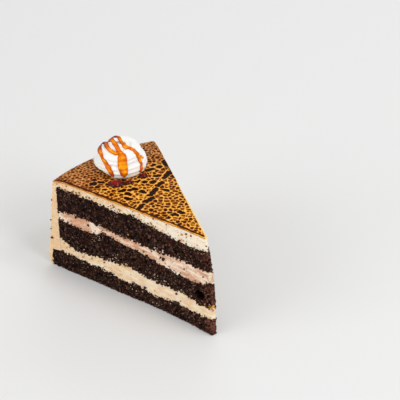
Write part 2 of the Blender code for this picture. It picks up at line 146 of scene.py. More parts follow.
class Grain:
    """Seeded noise, read at many points at once."""

    def __init__(self, seed: int) -> None:
        """Draws the noise's tables.

        Args:
            seed: The seed of this noise.
        """
        draw = np.random.default_rng(seed)
        self.order = np.tile(draw.permutation(256), 2)
        slopes = draw.normal(size=(256, 3))
        self.slopes = slopes / np.linalg.norm(slopes, axis=1, keepdims=True)
        self.spots = draw.random((256, 3))

    def corner(self, cell: Array) -> Array:
        """A number from 0 to 255 for each cell of three whole numbers."""
        x, y, z = (cell & 255).T
        return self.order[self.order[self.order[x] + y] + z]

    def smooth(self, points: Array, size: float) -> Array:
        """Smooth noise.

        Args:
            points: The points, one to a row.
            size: The length of one swell of it.

        Returns:
            A value from about -1 to 1 at each point.
        """
        scaled = points / size
        cell = np.floor(scaled).astype(int)
        rest = scaled - cell
        blend = rest**3 * (rest * (rest * 6 - 15) + 10)
        total = np.zeros(len(points))
        for step in np.ndindex(2, 2, 2):
            lean = self.slopes[self.corner(cell + step)]
            share = np.prod(np.where(step, blend, 1 - blend), axis=1)
            total += share * np.sum(lean * (rest - step), axis=1)
        return total * 1.6

    def rough(self, points: Array, size: float) -> Array:
        """Noise with finer noise on it.

        Args:
            points: The points, one to a row.
            size: The length of the coarsest of its three swells.

        Returns:
            A value from about -1.5 to 1.5 at each point.
        """
        return sum(self.smooth(points, size / 2**k) / 2**k for k in range(3))

    def lumps(self, points: Array, size: float) -> tuple[Array, Array]:
        """Rounded cells, as of crumbs pressed together.

        Args:
            points: The points, one to a row.
            size: The mean width of a cell.

        Returns:
            The distance to the nearest cell's middle in shares of size, and a value from 0 to 1
            that each cell has of its own.
        """
        scaled = points / size
        cell = np.floor(scaled).astype(int)
        nearest = np.full(len(points), 9.0)
        kind = np.zeros(len(points))
        for step in np.ndindex(3, 3, 3):
            home = cell + np.array(step) - 1
            mark = self.corner(home)
            gap = np.linalg.norm(home + self.spots[mark] - scaled, axis=1)
            closer = gap < nearest
            nearest = np.where(closer, gap, nearest)
            kind = np.where(closer, mark / 255, kind)
        return nearest, kind


@dataclass(frozen=True)
class Wedge:
    """The plan of the slice as it was cut from the round cake.

    A place in it is a distance from the apex, an angle from the middle line and a height.
    """

    half_angle: float = math.radians(19.6)
    apex_x: float = 53.35 * MM
    top_height: float = 64.5 * MM
    sponge_radius: float = 105.0 * MM
    bottom_sponge_radius: float = 111.6 * MM
    tip_start: float = 1.2 * MM
    tip_lean: float = 8.6 * MM
    tip_lean_power: float = 2.5
    tip_lean_reach: float = 42.0 * MM
    tip_spread: float = 2.6 * MM
    rim_radius: float = 108.0 * MM
    rim_fall: float = 2.2 * MM
    rim_fall_reach: float = 14.0 * MM
    tip_fall: float = 0.7 * MM
    tip_fall_reach: float = 20.0 * MM
    tip_calm: float = 9.0 * MM

    def along(self, share: Array, end: float) -> Array:
        """Distance from the apex, by the share of the way from the tip to an end."""
        return self.tip_start + (end - self.tip_start) * share

    def drawn(self, draw: Draw, count: int, side: Side) -> tuple[Array, ...]:
        """Distances and angles of places drawn along a cut face."""
        angle = np.full(count, side.value * self.half_angle)
        return self.along(draw.random(count), self.sponge_radius), angle

    def turned(self, share: Array) -> Array:
        """Angle from the middle line, by the share of the way from the front to the rear."""
        return self.half_angle * (2 * share - 1)

    def place(self, distance: Array, angle: Array, height: Array) -> Array:
        """Turns places in the wedge into points.

        Args:
            distance: Distances from the apex.
            angle: Angles from the middle line.
            height: Heights above the ground.

        Returns:
            The points, one to a row.
        """
        lean = 1 - np.clip(height / self.top_height, 0.0, 1.0) ** self.tip_lean_power
        lean = lean * np.maximum(0.0, 1 - distance / self.tip_lean_reach) ** 2
        x = self.apex_x - distance * np.cos(angle) + self.tip_lean * lean
        y = (distance + self.tip_spread * lean) * np.sin(angle)
        return np.stack([x, y, height + 0.0 * x], axis=1)

    def top(self, distance: Array) -> Array:
        """The glaze's upper face.

        Args:
            distance: Distances from the apex.

        Returns:
            The height at each distance.
        """
        rim = np.maximum(0.0, (distance - self.rim_radius) / self.rim_fall_reach + 1)
        tip = np.maximum(0.0, 1 - distance / self.tip_fall_reach)
        return self.top_height - self.rim_fall * rim**2 - self.tip_fall * tip**2

    def outward(self, side: Side) -> Array:
        """The level direction that a cut face looks in."""
        return np.array([math.sin(self.half_angle), side.value * math.cos(self.half_angle), 0.0])


WEDGE = Wedge()


@dataclass(frozen=True)
class Boundary:
    """Where one layer ends and the next starts.

    The front cut face holds its outline, and the rear one a gentle wave about its mean height.
    """

    rear_height: float
    outline: tuple[Pair, ...]
    wave: float = 1.6 * MM
    wave_length: float = 17.0 * MM
    wave_samples: int = 160

    def height(self, distance: Array, angle: Array) -> Array:
        """Reads the boundary.

        Args:
            distance: Distances from the apex.
            angle: Angles from the middle line.

        Returns:
            The height at each distance and angle.
        """
        front = smooth_curve(self.outline, distance / MM) * MM
        reach = np.linspace(0.0, self.outline[-1][0] * MM, self.wave_samples)
        swell = [noise.noise(Vector((x / self.wave_length, self.rear_height, 0.5))) for x in reach]
        rear = self.rear_height * MM + self.wave * np.interp(distance, reach, swell)
        return front + (rear - front) * ease(-WEDGE.half_angle, WEDGE.half_angle, angle)


BOTTOM_SPONGE_TOP = Boundary(10.3, (
    (0, 12.4), (4, 10.9), (12, 9.5), (22, 10.0), (30, 8.2), (38, 7.6), (44, 9.4), (50, 11.4),
    (56, 9.2), (63, 9.6), (72, 11.4), (90, 12.0), (104, 12.5), (112, 13.4),
))
MIDDLE_SPONGE_FOOT = Boundary(19.4, (
    (0, 21.8), (3, 20.4), (6, 18.6), (9.5, 17.7), (13, 19.4), (28, 19.3), (40, 19.2), (48, 21.4),
    (55, 22.8), (63, 20.8), (78, 20.0), (88, 18.2), (97, 19.8), (106, 23.6),
))
MIDDLE_SPONGE_TOP = Boundary(34.6, (
    (0, 36.6), (4, 33.8), (8, 32.0), (12, 31.0), (22, 31.5), (32, 32.8), (42, 34.8), (52, 35.5),
    (62, 36.6), (72, 38.2), (79, 35.2), (88, 34.6), (98, 35.6), (106, 36.4),
))
TOP_SPONGE_FOOT = Boundary(42.4, (
    (0, 43.8), (3, 42.9), (8, 42.8), (18, 42.8), (30, 42.0), (38, 41.3), (50, 42.0), (60, 42.2),
    (70, 43.1), (86, 43.5), (98, 42.8), (106, 41.9),
))
TOP_SPONGE_TOP = Boundary(57.2, (
    (0, 56.2), (5, 54.8), (10, 54.2), (20, 54.5), (30, 55.5), (40, 56.8), (50, 58.8), (57, 58.2),
    (63, 57.2), (72, 58.0), (84, 58.2), (92, 57.8), (100, 58.2), (106, 58.6),
))


@dataclass(frozen=True)
class Edge:
    """The ragged line along which crumb and cream meet on a cut face.

    Both layers run a little past their boundary. A shared noise says which of the two shows at
    each point, and the other dips behind it.
    """

    overrun: float = 1.3 * MM
    rag: float = 0.62 * MM
    rag_size: float = 3.6 * MM
    dip: float = 1.0 * MM
    dip_width: float = 0.4 * MM
    cream_lead: float = 0.2 * MM
    seed: int = 11

    def crumb_margin(self, points: Array, into_cream: Array) -> Array:
        """How far inside the crumb each point lies.

        Args:
            points: Points on a cut face.
            into_cream: How far past the boundary they lie, on the cream's side.

        Returns:
            A length at each point, below 0 where cream shows.
        """
        return self.rag * Grain(self.seed).rough(points, self.rag_size) - into_cream

    def sink(self, margin: Array) -> Array:
        """How deep a layer dips where its margin is below 0."""
        return self.dip * ease(0.0, -self.dip_width, margin)


EDGE = Edge()


def only(*parts: Object) -> None:
    """Selects some objects and no others.

    Args:
        parts: The objects, the first of which becomes the active one.
    """
    bpy.ops.object.select_all(action="DESELECT")
    for part in parts:
        part.select_set(True)
    bpy.context.view_layer.objects.active = parts[0]


def joined(name: str, parts: Sequence[Object]) -> Object:
    """Joins objects into the first of them.

    Args:
        name: The new name of the first.
        parts: The objects.

    Returns:
        The first, which holds them all.
    """
    only(*parts)
    bpy.ops.object.join()
    parts[0].name = name
    return parts[0]


def read_points(obj: Object) -> Array:
    """Reads an object's vertices.

    Args:
        obj: The object.

    Returns:
        The vertices, one to a row.
    """
    flat = np.empty(len(obj.data.vertices) * 3, np.float32)
    obj.data.vertices.foreach_get("co", flat)
    return flat.reshape(-1, 3).astype(float)


def write_points(obj: Object, points: Array) -> None:
    """Moves the object's vertices."""
    obj.data.vertices.foreach_set("co", np.ascontiguousarray(points, np.float32).ravel())
    obj.data.update()


def write_value(obj: Object, name: str, values: Array) -> None:
    """Stores one number at each vertex, under a name that a material reads."""
    layer = obj.data.attributes.new(name, "FLOAT", "POINT")
    layer.data.foreach_set("value", np.ascontiguousarray(values, np.float32))


def apply_modifier(obj: Object, kind: str, **settings: float | str | bool) -> None:
    """Adds one modifier to an object and applies it.

    Args:
        obj: The object.
        kind: The modifier's type.
        settings: Values of the modifier's own settings.
    """
    modifier = obj.modifiers.new(kind.lower(), kind)
    for name, value in settings.items():
        setattr(modifier, name, value)
    only(obj)
    bpy.ops.object.modifier_apply(modifier=modifier.name)


def melt(obj: Object, voxel: float, passes: int) -> None:
    """Melts the parts of an object into one smooth closed skin.

    Args:
        obj: The object.
        voxel: The width of the skin's faces.
        passes: How often the skin is smoothed.
    """
    apply_modifier(obj, "REMESH", mode="VOXEL", voxel_size=voxel)
    apply_modifier(obj, "SMOOTH", factor=0.5, iterations=passes)


def face_outwards(obj: Object) -> None:
    """Turns the faces of a closed shell outwards.

    Args:
        obj: The object.
    """
    only(obj)
    bpy.ops.object.mode_set(mode="EDIT")
    bpy.ops.mesh.select_all(action="SELECT")
    bpy.ops.mesh.normals_make_consistent(inside=False)
    bpy.ops.object.mode_set(mode="OBJECT")


def divided_block(name: str, parts: Sequence[Sequence[int]]) -> Object:
    """A unit block from 0 to 1 each way, cut into a lattice over its six sides.

    Args:
        name: The object's name.
        parts: For each direction, the numbers whose product is how many parts it is cut into,
            none of them over 101.

    Returns:
        The block.
    """
    bpy.ops.object.select_all(action="DESELECT")
    bpy.ops.mesh.primitive_cube_add(size=1.0, location=(0.5, 0.5, 0.5))
    block = bpy.context.object
    block.name = name
    bpy.ops.object.transform_apply(location=True, rotation=False, scale=False)
    bpy.ops.object.mode_set(mode="EDIT")
    bpy.ops.mesh.select_mode(type="EDGE")
    for axis, stages in enumerate(parts):
        for stage in stages:
            bpy.ops.mesh.select_all(action="DESELECT")
            shape = bmesh.from_edit_mesh(block.data)
            for edge in shape.edges:
                start, end = (vert.co for vert in edge.verts)
                edge.select = abs(start[axis] - end[axis]) > SNAP
            bmesh.update_edit_mesh(block.data)
            bpy.ops.mesh.subdivide(number_cuts=stage - 1)
    bpy.ops.object.mode_set(mode="OBJECT")
    return block


def thin_hidden(obj: Object, hidden: Array, ratio: float) -> None:
    """Gives hidden parts of a mesh fewer faces.

    Args:
        obj: The object.
        hidden: For each vertex, whether it lies where nobody looks.
        ratio: The share of the hidden faces to keep.
    """
    only(obj)
    bpy.ops.object.mode_set(mode="EDIT")
    bpy.ops.mesh.select_mode(type="VERT")
    bpy.ops.mesh.select_all(action="DESELECT")
    shape = bmesh.from_edit_mesh(obj.data)
    for vert, unseen in zip(shape.verts, hidden):
        vert.select = bool(unseen)
    shape.select_flush(True)
    bmesh.update_edit_mesh(obj.data)
    bpy.ops.mesh.decimate(ratio=ratio)
    bpy.ops.object.mode_set(mode="OBJECT")


def joined_copies(
    name: str,
    shapes: Sequence[Object],
    middles: Array,
    halves: Array,
    sizes_draw: Draw,
    seed: int,
) -> tuple[Object, Array]:
    """One mesh of many small turned copies of a few shapes.

    Args:
        name: The new object's name.
        shapes: The shapes, each about 2 units across. They are removed.
        middles: The middle of each copy, one to a row.
        halves: Half the mean width of each copy.
        sizes_draw: What draws the copies' own widths, depths and heights.
        seed: The seed of the turns and of the choice of shape.

    Returns:
        The new object, and for each of its vertices the row that it was made from.
    """
    sizes = halves[:, None] * sizes_draw.uniform(*UNEVEN, (len(halves), 3))
    draw = np.random.default_rng(seed)
    choice = draw.integers(len(shapes), size=len(middles))
    turns = draw.normal(size=(len(middles), 4))
    w, x, y, z = (turns / np.linalg.norm(turns, axis=1, keepdims=True)).T
    turn = np.array([
        [1 - 2 * (y * y + z * z), 2 * (x * y - w * z), 2 * (x * z + w * y)],
        [2 * (x * y + w * z), 1 - 2 * (x * x + z * z), 2 * (y * z - w * x)],
        [2 * (x * z - w * y), 2 * (y * z + w * x), 1 - 2 * (x * x + y * y)],
    ]).transpose(2, 0, 1)
    points, faces, rows, count = [], [], [], 0
    for kind, shape in enumerate(shapes):
        mine = np.flatnonzero(choice == kind)
        own = read_points(shape)
        corners = np.array([face.vertices[:] for face in shape.data.polygons])
        spread = np.einsum("nij,kj->nki", turn[mine], own) * sizes[mine, None, :]
        points.append((spread + middles[mine, None, :]).reshape(-1, 3))
        start = count + len(own) * np.arange(len(mine))
        faces.append((corners[None] + start[:, None, None]).reshape(-1, corners.shape[1]))
        rows.append(np.repeat(mine, len(own)))
        count += len(own) * len(mine)
        bpy.data.objects.remove(shape)
    mesh = bpy.data.meshes.new(name)
    mesh.from_pydata(np.concatenate(points).tolist(), [], np.concatenate(faces).tolist())
    obj = bpy.data.objects.new(name, mesh)
    bpy.context.scene.collection.objects.link(obj)
    return obj, np.concatenate(rows)


def crumb_shapes(count: int, subdivisions: int, uneven: float, seed: int) -> list[Object]:
    """A few uneven little lumps to copy.

    Args:
        count: How many shapes.
        subdivisions: How finely each starting ball is divided.
        uneven: How far its vertices move, as a share of its radius.
        seed: The seed of the moves.

    Returns:
        The lumps, each about 2 units across.
    """
    draw = np.random.default_rng(seed)
    shapes = []
    for _ in range(count):
        bpy.ops.object.select_all(action="DESELECT")
        bpy.ops.mesh.primitive_ico_sphere_add(subdivisions=subdivisions, radius=1.0)
        lump = bpy.context.object
        points = read_points(lump)
        write_points(lump, points * (1 + uneven * draw.uniform(-1, 1, (len(points), 1))))
        shapes.append(lump)
    return shapes


class Shading:
    """The node tree of one material, with short ways to add to it."""

    def __init__(self, name: str) -> None:
        """Starts a material with one Principled shader.

        Args:
            name: The material's name.
        """
        self.material = bpy.data.materials.new(name)
        self.material.use_nodes = True
        self.nodes = self.material.node_tree.nodes
        self.place = self.nodes.new("ShaderNodeTexCoord").outputs["Object"]

    def give(self, node: bpy.types.Node, name: str | int, value: Value) -> None:
        """Links a source into a node's input, or sets the input itself.

        Args:
            node: The node.
            name: The input's name or place.
            value: The source, or a plain number, colour or vector.
        """
        socket = node.inputs[name]
        if isinstance(value, Socket):
            self.material.node_tree.links.new(value, socket)
        elif socket.type == "RGBA":
            socket.default_value = (*value, 1.0)
        else:
            socket.default_value = value

    def node(self, kind: str, inputs: dict[str | int, Value], **settings: str) -> bpy.types.Node:
        """Adds a node.

        Args:
            kind: The end of its type's name.
            inputs: What each of its inputs is given.
            settings: The node's own settings.

        Returns:
            The node.
        """
        node = self.nodes.new("ShaderNode" + kind)
        for name, setting in settings.items():
            setattr(node, name, setting)
        for name, value in inputs.items():
            self.give(node, name, value)
        return node

    def set(self, **values: Value) -> None:
        """Gives the shader its own inputs, each named with _ for a space."""
        for name, value in values.items():
            self.give(self.nodes["Principled BSDF"], name.replace("_", " "), value)

    def attribute(self, name: str) -> Socket:
        """A number stored at each vertex."""
        return self.node("Attribute", {}, attribute_name=name).outputs["Fac"]

    def mottled(self, name: str, mottle: Socket, middle: float) -> Socket:
        """A number stored at each vertex with a mottle on it, whose mean is taken off again."""
        return self.math("SUBTRACT", self.math("ADD", self.attribute(name), mottle), middle)

    def stretched(self, scale: Triple) -> Socket:
        """Object coordinates, scaled for grain with a direction."""
        return self.node("Mapping", {"Vector": self.place, "Scale": scale}).outputs["Vector"]

    def noise(self, size: float, detail: float, place: Socket | None = None) -> Socket:
        """Noise from 0 to 1 whose swells are about one size."""
        inputs = {"Vector": place or self.place, "Scale": 1 / size, "Detail": detail}
        return self.node("TexNoise", inputs).outputs["Fac"]

    def cells(self, size: float) -> Socket:
        """The distance to the middles of random cells of about one size."""
        inputs = {"Vector": self.place, "Scale": 1 / size}
        return self.node("TexVoronoi", inputs).outputs["Distance"]

    def math(self, operation: str, first: Socket, second: Socket | float) -> Socket:
        """One sum of two numbers."""
        return self.node("Math", {0: first, 1: second}, operation=operation).outputs["Value"]

    def step(self, value: Socket, start: float, end: float) -> Socket:
        """Rises smoothly from 0 at the start to 1 at the end."""
        inputs = {"Value": value, "From Min": start, "From Max": end}
        return self.node("MapRange", inputs, interpolation_type="SMOOTHSTEP").outputs["Result"]

    def ramp(self, value: Socket, stops: Sequence[tuple[float, Colour]]) -> Socket:
        """A colour ramp.

        Args:
            value: The number that it follows.
            stops: Its positions and colours, in order.

        Returns:
            The colour.
        """
        node = self.node("ValToRGB", {"Fac": value})
        elements = node.color_ramp.elements
        while len(elements) < len(stops):
            elements.new(0.5)
        for element, (position, colour) in zip(elements, stops):
            element.position = position
            element.color = (*colour, 1.0)
        return node.outputs["Color"]

    def mix(self, factor: Socket, below: Socket, above: Colour) -> Socket:
        """Lays a plain colour over another colour, by a factor."""
        inputs = {MIX_FACTOR: factor, MIX_BELOW: below, MIX_ABOVE: above}
        return self.node("Mix", inputs, data_type="RGBA").outputs[MIX_RESULT]

    def bump(self, height: Socket, depth: float) -> None:
        """Gives the shader's normal a relief of some depth."""
        self.set(Normal=self.node("Bump", {"Height": height, "Distance": depth}).outputs["Normal"])


class Finish:
    """The look of a piece, which a material draws from the piece's own place and vertex values."""

    def material(self, name: str) -> Material:
        """Builds the finish.

        Args:
            name: The material's name.

        Returns:
            The material.
        """
        shading = Shading(name)
        self.paint(shading)
        return shading.material

    def paint(self, shading: Shading) -> None:
        """Adds the nodes of one kind of finish."""
        raise NotImplementedError


@dataclass(frozen=True)
class SpongeFinish(Finish):
    """Dark chocolate crumb: painted shade makes it near black in its hollows, and painted
    highlights make it browner on its crests.
    """

    # The darkest colour is painted shade for the hollows and the lightest a painted highlight for
    # the crests; the crumb colour is the sponge's own.
    shaded_hollow: Colour = (0.0030, 0.0012, 0.0008)
    crumb: Colour = (0.0260, 0.0105, 0.0070)
    crumb_light: Colour = (0.2000, 0.0960, 0.0640)
    moist: Colour = (0.0500, 0.0130, 0.0060)
    tip: Colour = (0.1900, 0.0600, 0.0370)
    grain_size: float = 0.45 * MM
    grain: float = 0.18 * MM
    patch_size: float = 6.0 * MM
    roughness: float = 0.85
    shine: float = 0.08

    def paint(self, shading: Shading) -> None:
        """Paints by a vertex value of painted shade and highlights on the crumb, and by the value
        moist, which makes the tip lighter and redder.

        Args:
            shading: The material's nodes.
        """
        fine = shading.noise(self.grain_size, 2.0)
        level = shading.mottled("crumb_light", fine, 0.5)
        colour = shading.ramp(
            level, ((0.25, self.shaded_hollow), (0.52, self.crumb), (0.68, self.crumb), (0.92, self.crumb_light))
        )
        patches = shading.step(shading.noise(self.patch_size, 2.0), 0.52, 0.72)
        patches = shading.math("MULTIPLY", patches, shading.step(level, 0.3, 0.7))
        colour = shading.mix(patches, colour, self.moist)
        tip = shading.math("MULTIPLY", shading.attribute("moist"), shading.step(level, 0.35, 0.75))
        shading.set(Base_Color=shading.mix(tip, colour, self.tip))
        shading.set(Roughness=self.roughness, Specular_IOR_Level=self.shine)
        shading.bump(fine, self.grain)


@dataclass(frozen=True)
class CreamFinish(Finish):
    """Soft cream: paler and deeper streaks, fine specks, and light that sinks in."""

    pale: Colour
    deep: Colour
    speck: Colour
    speck_size: float = 1.3 * MM
    speck_reach: float = 0.10
    streak: Triple = (1.0, 1.0, 1.0)
    streak_size: float = 2.6 * MM
    torn: float = 0.8
    torn_size: float = 0.8 * MM
    pores: float = 0.16 * MM
    pore_size: float = 1.1 * MM
    roughness: float = 0.42
    shine: float = 0.4
    depth: Triple = (2.2 * MM, 1.3 * MM, 0.8 * MM)

    def paint(self, shading: Shading) -> None:
        """Paints by the vertex values "tone" and "speckle".

        Args:
            shading: The material's nodes.
        """
        drag = shading.stretched(self.streak)
        streaks = shading.noise(self.streak_size, 4.0, drag)
        torn = shading.math("MULTIPLY", shading.noise(self.torn_size, 3.0), self.torn)
        level = shading.math("ADD", shading.attribute("tone"), streaks)
        level = shading.math("ADD", level, torn)
        level = shading.math("SUBTRACT", level, 0.5 + 0.5 * self.torn)
        colour = shading.ramp(level, ((0.30, self.pale), (0.75, self.deep)))
        near = shading.cells(self.speck_size)
        reach = shading.math("MULTIPLY", shading.attribute("speckle"), self.speck_reach)
        specks = shading.math("LESS_THAN", near, reach)
        shading.set(Base_Color=shading.mix(specks, colour, self.speck))
        shading.set(
            Roughness=self.roughness,
            Specular_IOR_Level=self.shine,
            Subsurface_Weight=0.35,
            Subsurface_Radius=self.depth,
            Subsurface_Scale=1.0,
        )
        shading.bump(shading.noise(self.pore_size, 4.0, drag), self.pores)


@dataclass(frozen=True)
class GlazeFinish(Finish):
    """Glossy caramel: a golden web round dark cells, with a painted tan sheen between them towards
    the rim.
    """

    core: Colour = (1.000, 0.560, 0.110)
    web: Colour = (0.800, 0.330, 0.028)
    amber: Colour = (0.400, 0.100, 0.004)
    rim: Colour = (0.130, 0.022, 0.000)
    cell: Colour = (0.014, 0.004, 0.002)
    side: Colour = (0.550, 0.210, 0.014)
    tan_sheen: Colour = (0.620, 0.330, 0.140)
    thin: Colour = (0.950, 0.680, 0.280)
    mottle_size: float = 0.5 * MM
    swell: float = 0.05 * MM
    swell_size: float = 1.2 * MM
    roughness: float = 0.30
    shine: float = 0.02

    def paint(self, shading: Shading) -> None:
        """Paints by the vertex values "dark", "side" and "thin", and by the one that paints a tan
        sheen of reflected light towards the rim.

        Args:
            shading: The material's nodes.
        """
        level = shading.mottled("dark", shading.noise(self.mottle_size, 2.0), 0.5)
        colour = shading.ramp(
            level,
            ((0.02, self.core), (0.15, self.web), (0.35, self.amber), (0.62, self.rim),
             (0.95, self.cell)),
        )
        # Painted sheen: towards the rim the web is painted a paler tan, as a reflection of light.
        pale = shading.math("MULTIPLY", shading.attribute("tan_sheen"), shading.step(level, 0.45, 0.05))
        colour = shading.mix(pale, colour, self.tan_sheen)
        colour = shading.mix(shading.attribute("side"), colour, self.side)
        shading.set(Base_Color=shading.mix(shading.attribute("thin"), colour, self.thin))
        shading.set(Roughness=self.roughness, Specular_IOR_Level=self.shine)
        shading.bump(shading.noise(self.swell_size, 3.0), self.swell)


@dataclass(frozen=True)
class CaramelFinish(Finish):
    """Poured caramel: bright amber to dark red-brown by one vertex value, which holds painted
    highlight and shade, and on the strands also where the caramel pools.
    """

    stops: tuple[tuple[float, Colour], ...]
    mottle: float = 0.4
    mottle_size: float = 1.4 * MM
    depth: Triple = (1.6 * MM, 0.5 * MM, 0.1 * MM)
    roughness: float = 0.12
    shine: float = 0.15

    def paint(self, shading: Shading) -> None:
        """Paints by one vertex value, how dark the caramel is.

        Args:
            shading: The material's nodes.
        """
        mottle = shading.math("MULTIPLY", shading.noise(self.mottle_size, 2.0), self.mottle)
        level = shading.mottled("caramel_darkness", mottle, 0.5 * self.mottle)
        shading.set(Base_Color=shading.ramp(level, self.stops))
        shading.set(
            Roughness=self.roughness,
            Specular_IOR_Level=self.shine,
            Subsurface_Weight=0.25,
            Subsurface_Radius=self.depth,
            Subsurface_Scale=1.0,
        )


@dataclass(frozen=True)
class BitFinish(Finish):
    """Small bits in the cream, each of one shade between two."""

    dark: Colour
    light: Colour
    mottle_size: float = 0.5 * MM
    grit: float = 0.05 * MM
    grit_size: float = 0.3 * MM
    roughness: float = 0.4
    shine: float = 0.2

    def paint(self, shading: Shading) -> None:
        """Paints by the vertex value "shade".

        Args:
            shading: The material's nodes.
        """
        level = shading.mottled("shade", shading.noise(self.mottle_size, 2.0), 0.5)
        shading.set(Base_Color=shading.ramp(level, ((0.2, self.dark), (0.8, self.light))))
        shading.set(Roughness=self.roughness, Specular_IOR_Level=self.shine)
        shading.bump(shading.noise(self.grit_size, 2.0), self.grit)


IVORY = CreamFinish(
    pale=(0.930, 0.770, 0.570),
    deep=(0.830, 0.570, 0.320),
    speck=(0.240, 0.100, 0.030),
    streak=(0.45, 0.45, 1.3),
)
COFFEE_CREAM = CreamFinish(
    pale=(0.940, 0.760, 0.600),
    deep=(0.640, 0.320, 0.175),
    speck=(0.300, 0.110, 0.060),
    streak=(0.35, 0.35, 1.5),
)
WHITE_CREAM = CreamFinish(
    pale=(0.940, 0.925, 0.900),
    deep=(0.910, 0.885, 0.845),
    speck=(0.900, 0.870, 0.820),
    torn=0.0,
    roughness=0.5,
    pores=0.06 * MM,
)
COAT_CREAM = CreamFinish(
    pale=(0.950, 0.830, 0.670),
    deep=(0.840, 0.560, 0.310),
    speck=(0.250, 0.110, 0.030),
    speck_size=1.5 * MM,
    speck_reach=0.15,
    streak=(0.30, 0.30, 2.2),
)
POURED = CaramelFinish(
    stops=(
        (0.02, (1.000, 0.440, 0.012)),
        (0.30, (0.800, 0.190, 0.003)),
        (0.65, (0.480, 0.070, 0.001)),
        (1.0, (0.170, 0.018, 0.001)),
    ),
    shine=0.08,
)
BEADED = CaramelFinish(
    stops=(
        (0.0, (0.240, 0.006, 0.001)),
        (0.4, (0.100, 0.003, 0.001)),
        (0.8, (0.025, 0.001, 0.001)),
    ),
    roughness=0.05,
    shine=0.22,
)
TOFFEE = BitFinish(dark=(0.050, 0.012, 0.003), light=(0.680, 0.290, 0.045))
CREAM_BITS = BitFinish(dark=(0.420, 0.300, 0.180), light=(0.850, 0.700, 0.520))


def dress(obj: Object, material: Material, slot: Slot, *nodes: str) -> Object:
    """Keeps a finished piece in the frame's box, gives it smooth shading, its material and its
    body, and hides the frame's nodes that it replaces.

    Args:
        obj: The piece.
        material: Its material.
        slot: The record's slot that the finish comes from. It is not used.
        nodes: The frame's nodes that it replaces.

    Returns:
        The piece.
    """
    only(obj)
    bpy.ops.object.shade_smooth()
    write_points(obj, np.clip(read_points(obj), *np.array(CAD_BOUNDS)))
    obj.data.materials.append(material)
    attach(obj, BODY)
    if nodes:
        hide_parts(*nodes)
    obj.data.calc_loop_triangles()
    log.info("%s: %d triangles", obj.name, len(obj.data.loop_triangles))
    return obj


@dataclass
class CutLayer:
    """A layer of the slice between two boundaries, with its two cut faces in relief.

    Without a foot it stands on the ground.
    """

    name: str
    node: str
    top: Boundary
    foot: Boundary | None
    end: float = WEDGE.sponge_radius
    along: tuple[int, ...] = (4, 101)
    across: int = 8
    up: int = 44

    def shape(self) -> tuple[Object, "CutPlaces"]:
        """Builds the layer's plain wedge.

        Returns:
            The object, and where each of its vertices lies in the wedge.
        """
        block = divided_block(self.name, (self.along, (self.across,), (self.up,)))
        u, v, w = read_points(block).T
        distance = WEDGE.along(u, self.end)
        angle = WEDGE.turned(v)
        above = self.top.height(distance, angle)
        below = self.foot.height(distance, angle) if self.foot else 0.0 * distance
        low = below - EDGE.overrun if self.foot else below
        height = low + (above + EDGE.overrun - low) * w
        points = WEDGE.place(distance, angle, height)
        places = CutPlaces(
            points=points,
            distance=distance,
            height=height,
            front=v < SNAP,
            rear=v > 1 - SNAP,
            tip=u < SNAP,
            past_top=height - above,
            past_foot=below - height if self.foot else np.full(len(points), -1.0),
        )
        return block, places


@dataclass
class CutPlaces:
    """Where the vertices of a layer lie, and which of them are on its cut faces."""

    points: Array
    distance: Array
    height: Array
    front: Array
    rear: Array
    tip: Array
    past_top: Array
    past_foot: Array

    def past(self) -> Array:
        """How far past the nearer of its layer's two boundaries each vertex lies."""
        return np.maximum(self.past_top, self.past_foot)

    def cut(self) -> Array:
        """Whether each vertex is on a cut face or the tip."""
        return self.front | self.rear | self.tip

    def outward(self) -> Array:
        """Finds which way the cut faces look.

        Returns:
            The direction at each vertex, or none inside the cake.
        """
        total = (
            self.front[:, None] * WEDGE.outward(Side.FRONT)
            + self.rear[:, None] * WEDGE.outward(Side.REAR)
            + self.tip[:, None] * np.array([1.0, 0.0, 0.0])
        )
        length = np.linalg.norm(total, axis=1, keepdims=True)
        return total / np.maximum(length, 1e-9)

    def pushed(self, relief: Array, at_tip: float) -> Array:
        """Moves the vertices of the cut faces outwards.

        Args:
            relief: How far each is moved.
            at_tip: The share of it that is left at the tip.

        Returns:
            The moved points.
        """
        share = at_tip + (1 - at_tip) * ease(0.0, WEDGE.tip_calm, self.distance)
        return self.points + self.outward() * (relief * share)[:, None]


@dataclass(frozen=True)
class Hollow:
    """A hole in the crumb of the front cut face, soft at its brim."""

    distance: float
    height: float
    radius: float
    depth: float
    brim: Pair = (1.15, 0.55)

    def inside(self, distance: Array, height: Array) -> Array:
        """How far inside the hole each place lies, from 0 to 1."""
        gap = np.hypot(distance - self.distance, height - self.height)
        return ease(*self.brim, gap / self.radius)


TIP_HOLLOW = Hollow(8.0 * MM, 24.3 * MM, 2.7 * MM, 4.2 * MM)


